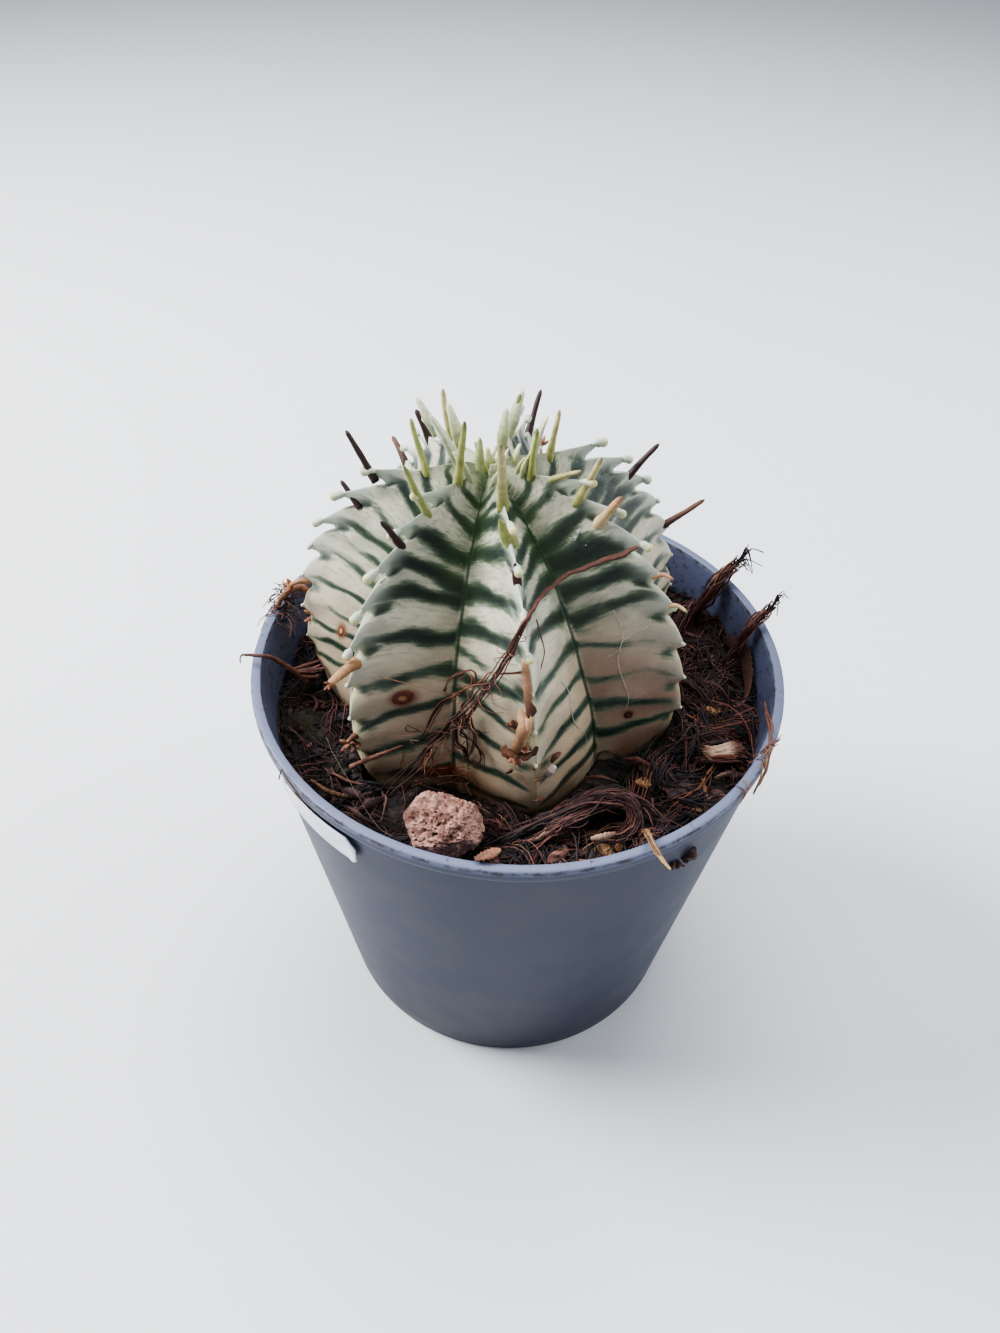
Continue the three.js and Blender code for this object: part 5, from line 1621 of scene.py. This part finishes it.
def bunch(bm, route, radius, strands, palette, end_palette, thickness, fray, ragged):
    """Strands that run together along a route, twisting a little, straying and fraying at the ends."""
    rings = FINE_ROD["count"]
    middle = smooth_route(route, rings)
    across, above = frames_along(middle)
    share = np.linspace(0, 1, rings)
    for _ in range(strands):
        start, twist = draw.uniform(0, 2 * math.pi), draw.gauss(0, 1.2)
        out = radius * math.sqrt(draw.random())
        swing = start + twist * share
        splayed = fray * (np.abs(2 * share - 1) ** 3) * draw.uniform(-0.2, 1)
        spread = out * (0.75 + 0.25 * np.sin(share * 5 + start)) + splayed
        points = middle + round_about(across, above, swing, spread)
        stray = drift_at(points, 0.35, (draw.uniform(0, 90), 0, 0))
        points = points + stray * ragged * draw.random()
        low, high = sorted((draw.uniform(0, 0.4), draw.uniform(0.6, 1.0)))
        cut = smooth_route(points, 60)[int(low * 59) : int(high * 59) + 1]
        points = smooth_route(cut, rings)
        thick = draw.uniform(*thickness)
        radii = thick * (0.45 + 0.55 * np.sin(np.linspace(0.35, 2.8, rings)))
        tints = even_tint(draw.choice(palette), rings, draw.choice(end_palette))
        lay_rod(bm, FINE_ROD, points, radii, tints, draw.choice((1.0, 0.5, 0.35)))


def make_arched_bundle():
    """The matted bundle in front: dark cord at its foot, opening into a ragged arch of brown fibres."""
    bm = bmesh.new()
    dark, brown = COIR_DARK[1:] + COIR_BROWN[2:3], COIR_BROWN + COIR_RED
    bunch(bm, BUNDLE_ROUTE, 0.72, 150, dark, brown, (0.05, 0.15), 0.9, 1.1)
    mixed = COIR_BROWN + COIR_DARK[:2] + COIR_RED[:2]
    for route in BUNDLE_SIDE_ROUTES:
        bunch(bm, route, 0.5, 40, mixed, mixed, (0.04, 0.12), 0.8, 1.0)
    finish_piece("arched_bundle", bm, COIR, ["coir_bundle"])


def make_long_strand():
    """The fibre across the plant's front: a torn ribbon at its top, then strands that fan out."""
    bm = bmesh.new()
    rings = LONG_ROD["count"]
    middle = smooth_route(STRAND_ROUTE, rings)
    share = np.linspace(0, 1, rings)
    across, above = frames_along(middle)
    wave = drift_at(middle, 0.45) * 0.2 + drift_at(middle, 1.6) * 0.12
    rust, dark = "5e3427", "2b1610"
    widths = [0.22, 0.42, 0.34, 0.13, 0.1, 0.14, 0.13, 0.07]
    ribbon = np.interp(share, [0, 0.03, 0.12, 0.27, 0.36, 0.6, 0.8, 1], widths)
    lay_rod(bm, LONG_ROD, middle + wave, ribbon, even_tint(rust, rings, dark), flat=0.4)
    for phase, out, thick in ((0.0, 0.2, 0.13), (2.1, 0.26, 0.1), (4.2, 0.3, 0.07), (5.3, 0.4, 0.05)):
        away = out * (0.5 + ease(share, 0.3, 0.5)) + 1.5 * out * ease(share, 0.7, 1.0)
        twin = middle + wave + round_about(across, above, phase + 7 * share, away, 0.6)
        radii = thick * (0.8 + 0.3 * np.sin(17 * share + phase))
        lay_rod(bm, LONG_ROD, twin, radii, even_tint(draw.choice(COIR_RED), rings, dark))
    whiskers(bm, middle, 30)
    finish_piece("long_strand", bm, COIR, ["coir_strand"])


def whiskers(bm, middle, count):
    """Short hairs that stand off the strand."""
    rings = FINE_ROD["count"]
    for _ in range(count):
        i = int(draw.uniform(0.42, 0.98) * (len(middle) - 1))
        start = middle[i]
        heading = draw.uniform(math.pi * 0.9, math.pi * 2.1)
        length = draw.uniform(1.2, 4)
        route = wander(start, heading, length, rings, 0.25, draw.uniform(-1.6, 1.2))
        lay_rod(bm, FINE_ROD, route, np.linspace(0.05, 0.02, rings), even_tint(draw.choice(COIR_RED), rings))


def make_root_hairs():
    """The tangle of fine curly roots in the valley left of the front ridge, and the rusty tuft under it."""
    bm = bmesh.new()
    for thick, tone, route in ROOT_HAIRS:
        colour = ROOT_TONES[tone]
        size = 1.25 * thick + 0.022
        raised = [(x - 0.05, y - 0.3, z) for x, y, z in route]
        simple_rod(bm, raised, (size, 1.1 * size, 0.6 * size), colour, colour, rod=CURL_ROD)
        if thick > 0.055:
            for _ in range(2):
                beside = [
                    (x + draw.gauss(0, 0.14), y - 0.1 + draw.gauss(0, 0.1), z + draw.gauss(0, 0.14))
                    for x, y, z in raised
                ]
                radii = (0.5 * size, 0.55 * size, 0.3 * size)
                simple_rod(bm, beside, radii, draw.choice(COIR_RED), colour, rod=CURL_ROD)
    for _ in range(40):
        start = (draw.uniform(-9.5, -2.6), -13.8 + draw.uniform(-0.5, 0.2), draw.uniform(42, 50))
        heading, length = draw.uniform(2.5, 6.9), draw.uniform(1.2, 3.6)
        route = wander(start, heading, length, CURL_ROD["count"], 0.1, draw.uniform(-3.0, 0.4))
        route[:, 1] = start[1] - 0.25 * (route[:, 0] - start[0])
        tint = even_tint(draw.choice(COIR_RED + [ROOT_TONES["tan"]]), len(route))
        lay_rod(bm, CURL_ROD, route, np.full(len(route), draw.uniform(0.025, 0.05)), tint)
    finish_piece("curly_root_hairs", bm, COIR)


def make_straw():
    """A narrow split straw that lies over the rim."""
    bm = bmesh.new()
    radii = [0.12, 0.27, 0.3, 0.27, 0.1]
    simple_rod(bm, STRAW_ROUTE, radii, "7d5a3e", "b08a60", 0.5, beside=(1, 0.3, 0), rough=0.25)
    for lift, colour in ((-0.2, "5d4030"), (0.12, "bf9a6c"), (0.24, "6f4e36"), (0.0, "4e382c")):
        route = [(x + lift, y - 0.02, z + 0.13) for x, y, z in STRAW_ROUTE[:-1]]
        simple_rod(bm, route, [0.04, 0.1, 0.09, 0.04], colour, colour, 0.6)
    finish_piece("pale_straw", bm, STRAW, ["straw"])


def make_rim_twig():
    """The thin twig over the rim at the left, with torn husk at its foot."""
    bm = bmesh.new()
    simple_rod(bm, TWIG_ROUTE, [0.13, 0.22, 0.26, 0.3, 0.3], "5d3c33", "7a5245", rough=0.3)
    hook = [(-28.1, -3.3, 48.1), (-28.4, -3.3, 47.6), (-28.5, -3.3, 46.9)]
    simple_rod(bm, hook, [0.1, 0.08, 0.05], "4a3026", "4a3026", rod=FINE_ROD)
    for _ in range(9):
        swing = draw.uniform(-0.7, 1.5)
        route = [
            (-23.6, -1.9 + swing * 0.3, 44.7), (-22.3, -1.0 + swing, 43.7 + draw.uniform(-0.2, 0.3)),
            (-20.9 + draw.uniform(-0.5, 0.4), -0.2 + swing * 1.3, 43.3)
        ]
        colour = draw.choice(COIR_BROWN[:2] + COIR_RED[:3])
        radii = [0.12, draw.uniform(0.15, 0.45), 0.1]
        simple_rod(bm, route, radii, colour, draw.choice(COIR_BROWN), draw.choice((0.2, 0.4)), FINE_ROD)
    finish_piece("rim_twig", bm, TWIG, ["left_twig"])


def make_front_stick():
    """The short stick on the peat at the front left."""
    bm = bmesh.new()
    simple_rod(bm, FRONT_STICK_ROUTE, [0.14, 0.26, 0.28, 0.2], "80583f", "4e362b", rough=0.3)
    finish_piece("front_peat_stick", bm, TWIG, ["front_stick"])


def make_tufts():
    """The two tufts of coir that stand up at the right, their ends split into drooping dark hairs."""
    start_tones, end_tones = COIR_BROWN + COIR_DARK[:2], COIR_BROWN + COIR_TAN[2:]
    for name, route, node_name, width, strands, hairs in (
        ("back_tuft", BACK_STICK_ROUTE, "back_stick", 0.75, 95, 16),
        ("side_tuft", SIDE_STICK_ROUTE, "side_stick", 0.42, 46, 7),
    ):
        bm = bmesh.new()
        bunch(bm, route, width, strands, start_tones, end_tones, (0.05, 0.14), 0.55, 1.0)
        end = np.array(route[-1])
        rings = FINE_ROD["count"]
        for _ in range(hairs):
            out = min(draw.uniform(0.3, 2.6), LITTER_REACH - end[0])
            side = draw.uniform(-1.2, 0.8)
            start = end - (end - np.array(route[-2])) * draw.uniform(0, 0.8)
            top = start + [0.35 * out, 0.4 * side, draw.uniform(0.5, 1.7)]
            tip = start + [out, side, draw.uniform(-1.4, 1.9)]
            hair = smooth_route([start, top, tip], rings)
            lay_rod(bm, FINE_ROD, hair, np.linspace(0.09, 0.045, rings), even_tint("262029", rings))
        finish_piece(name, bm, COIR, [node_name])


def make_rim_litter():
    """Scraps over the rim: the clump at the left, a few fibres at the right, a chip and threads in front."""
    bm = bmesh.new()
    count = HAIR_ROD["count"]
    for _ in range(70):
        start = (-25.6 + draw.gauss(0, 0.7), 5.6 + draw.gauss(0, 1.6), 47.3 + draw.uniform(-1.4, 0.8))
        heading, length = draw.uniform(0, FULL_TURN), draw.uniform(1.5, 4)
        route = wander(start, heading, length, count, 0.35, draw.uniform(-1.5, 1.0))
        radius = np.hypot(route[:, 0], route[:, 1])
        route[:, :2] *= np.minimum(1, LITTER_REACH / radius)[:, None]
        radii = np.linspace(draw.uniform(0.06, 0.13), 0.04, count)
        lay_rod(bm, HAIR_ROD, route, radii, even_tint(draw.choice(COIR_BROWN + COIR_DARK[:2]), count))
    husk = [(-22.6, 8.6, 45.6), (-24.2, 7.4, 48.4), (-25.8, 6, 48.2), (-26.6, 4.8, 46.6)]
    simple_rod(bm, husk, [0.26, 0.42, 0.4, 0.24], "a8795c", "7a5040", rough=0.3)
    for strands, course in RIM_FIBRES:
        for _ in range(strands):
            shift_along, lift = draw.gauss(0, 0.9), abs(draw.gauss(0, 0.12))
            route = [
                polar(r + lift, a + shift_along + draw.gauss(0, 0.5), z + draw.uniform(0, 0.25))
                for r, a, z in course
            ]
            colour = draw.choice(COIR_TAN[2:] + COIR_BROWN + ["9c7454"])
            radii, end = (0.05, draw.uniform(0.06, 0.14), 0.04), draw.choice(COIR_TAN + COIR_BROWN[:2])
            simple_rod(bm, route, radii, colour, end, draw.choice((0.4, 1.0)), FINE_ROD)
    chip = [(-2.9, -26.4, 47.45), (-1.8, -26.0, 47.6), (-0.7, -25.5, 47.8)]
    simple_rod(bm, chip, [0.3, 0.55, 0.2], "6e4636", "a06e54", 0.14, rough=0.6)
    thread = [
        (-18.6, -10.8, 44.5), (-17.2, -13.2, 44), (-14.2, -18, 44), (-12, -21.8, 45.2), (-10.2, -23.9, 46.6)
    ]
    simple_rod(bm, thread, [0.022], "857263", "6a5a50", rod=CURL_ROD)
    curl = [(-21.6, -17.9, 46.4), (-21.2, -17.6, 47.6), (-20.6, -18.6, 47.5), (-18.4, -20.6, 45.6)]
    simple_rod(bm, curl, [0.06, 0.08, 0.05], "4a3026", "6a4a3a", rod=FINE_ROD)
    finish_piece("rim_litter", bm, COIR)


def make_loose_pieces():
    """Larger scraps on the soil and against the plant."""
    bm = bmesh.new()
    leaning = [(-10.6, -13.4, 46.8), (-12.8, -13.9, 45.9), (-15.9, -13.6, 43.5)]
    simple_rod(bm, leaning, [0.12, 0.22, 0.26], "56322a", "85594a", rough=0.3)
    hanging = [(1.5, -10.5, 61), (2.3, -12.1, 58.8), (2.1, -13.4, 57.7)]
    simple_rod(bm, hanging, [0.07, 0.06, 0.05], "5d3628", "5d3628", rod=FINE_ROD)
    for route, radii, start, end, flat in SOIL_SCRAPS:
        simple_rod(bm, route, radii, start, end, flat, beside=(0.3, 0.3, 0.9), rough=0.4)
    for x, y, length, heading, colour, thick in SOIL_TWIGS:
        route = wander((x, y, 0), heading, length, 6, 0.18, 0)
        for point in route:
            x, y = clear_of_wall(*clear_of_plant(point[0], point[1], 0.3), 43, 0.4)
            point[:] = (x, y, on_soil(x, y, 0.5))
        radii = [thick * 0.5, thick, thick * 0.9, thick * 0.5]
        simple_rod(bm, route, radii, colour, draw.choice(COIR_BROWN), 0.6, FINE_ROD, rough=0.4)
    finish_piece("loose_scraps", bm, TWIG)


def make_pale_threads():
    """Fine pale threads and a starry fleck on the plant's front right."""
    bm = bmesh.new()
    share = np.linspace(0, 1, 9)
    for rib, side, angle, last_side, last_angle in PALE_THREADS:
        turn = rib + side + (last_side - side) * share + 0.02 * np.sin(9 * share)
        path = skin(turn, angle + (last_angle - angle) * share, np.full(len(share), 0.12))
        simple_rod(bm, path, [0.03, 0.035, 0.02], "cfc9bb", "cfc9bb")
    centre = skin(0.72, 40.0, 0.1)
    outward, across, up = ridge_frame(0.7)
    for i in range(7):
        swing = math.pi * i / 7
        arm = (across * math.cos(swing) + up * math.sin(swing)) * draw.uniform(0.35, 0.75)
        ray = [centre - arm, centre + outward * 0.06, centre + arm]
        simple_rod(bm, ray, [0.03, 0.05, 0.03], "e6e8e6", "e6e8e6", rod=FINE_ROD)
    finish_piece("pale_threads", bm, STRAW)


make_peat()
RIGHT_COIR, LEFT_COIR = COIR_BROWN * 2 + COIR_RED + COIR_DARK * 3, COIR_DARK * 2 + COIR_BROWN[:2]
make_coir_mat("coir_mat_right", 330, (-95, 75), RIGHT_COIR, (2.5, 10), (0.03, 0.14), 0.3, 0.6)
make_coir_mat("coir_mat_left", 170, (75, 265), LEFT_COIR, (2, 8), (0.04, 0.11), 0.15, 0.3)
make_crumbs()
make_stone()
make_bark_scrap()
make_arched_bundle()
make_long_strand()
make_root_hairs()
make_straw()
make_rim_twig()
make_front_stick()
make_tufts()
make_rim_litter()
make_loose_pieces()
make_pale_threads()

# Floor, light and camera

LIGHT_TARGET = (0.0, 0.0, 0.045)
FOCAL_LENGTH, SENSOR_WIDTH = 27.02, 36.0
CAMERA_PLACE = (0.0, -0.07627, 0.118894)
CAMERA_TURN = ((0.99889, -0.04375, 0.01725), (0.04284, 0.69527, -0.71747), (0.01939, 0.71741, 0.69638))


def make_floor():
    """A pale floor under the pot, which is a stage and no part of the object."""
    bm = bmesh.new()
    bmesh.ops.create_grid(bm, x_segments=1, y_segments=1, size=1.2)
    mesh = mesh_from(bm, "floor")
    mesh.materials.append(floor_finish())
    floor = new_object("floor", mesh)


def add_light(name, place, size, power, colour=(1.0, 1.0, 1.0)):
    lamp = bpy.data.lights.new(name, "AREA")
    lamp.shape, lamp.size, lamp.energy, lamp.color = "DISK", size, power, colour
    light = new_object(name, lamp)
    light.location = place
    light.rotation_euler = (Vector(LIGHT_TARGET) - Vector(place)).to_track_quat("-Z", "Y").to_euler()


def make_light():
    """A soft studio: a dim cool sky and four round soft lamps."""
    world = bpy.data.worlds.new("studio")
    world.use_nodes = True
    background = world.node_tree.nodes["Background"]
    background.inputs["Color"].default_value = (0.8, 0.88, 1.0, 1.0)
    background.inputs["Strength"].default_value = 0.24
    bpy.context.scene.world = world
    add_light("window_left", (-0.36, 0.06, 0.34), 0.26, 4.6)
    add_light("soft_top", (0.02, 0.16, 0.5), 0.36, 2.4)
    add_light("fill_right", (0.36, 0.06, 0.2), 0.3, 1.1, colour=(0.92, 0.96, 1.0))
    add_light("fill_front", (-0.1, -0.42, 0.3), 0.4, 0.35)
    bpy.context.scene.view_settings.look = "AgX - Medium High Contrast"


def make_camera():
    """The camera of the photo, as fitted to the pot's rim and foot."""
    lens = bpy.data.cameras.new("camera")
    lens.lens, lens.sensor_width = FOCAL_LENGTH, SENSOR_WIDTH
    lens.clip_start, lens.clip_end = 0.005, 10.0
    camera = new_object("camera", lens)
    camera.matrix_world = Matrix.Translation(CAMERA_PLACE) @ Matrix(CAMERA_TURN).to_4x4()
    bpy.context.scene.camera = camera


make_floor()
make_light()
make_camera()
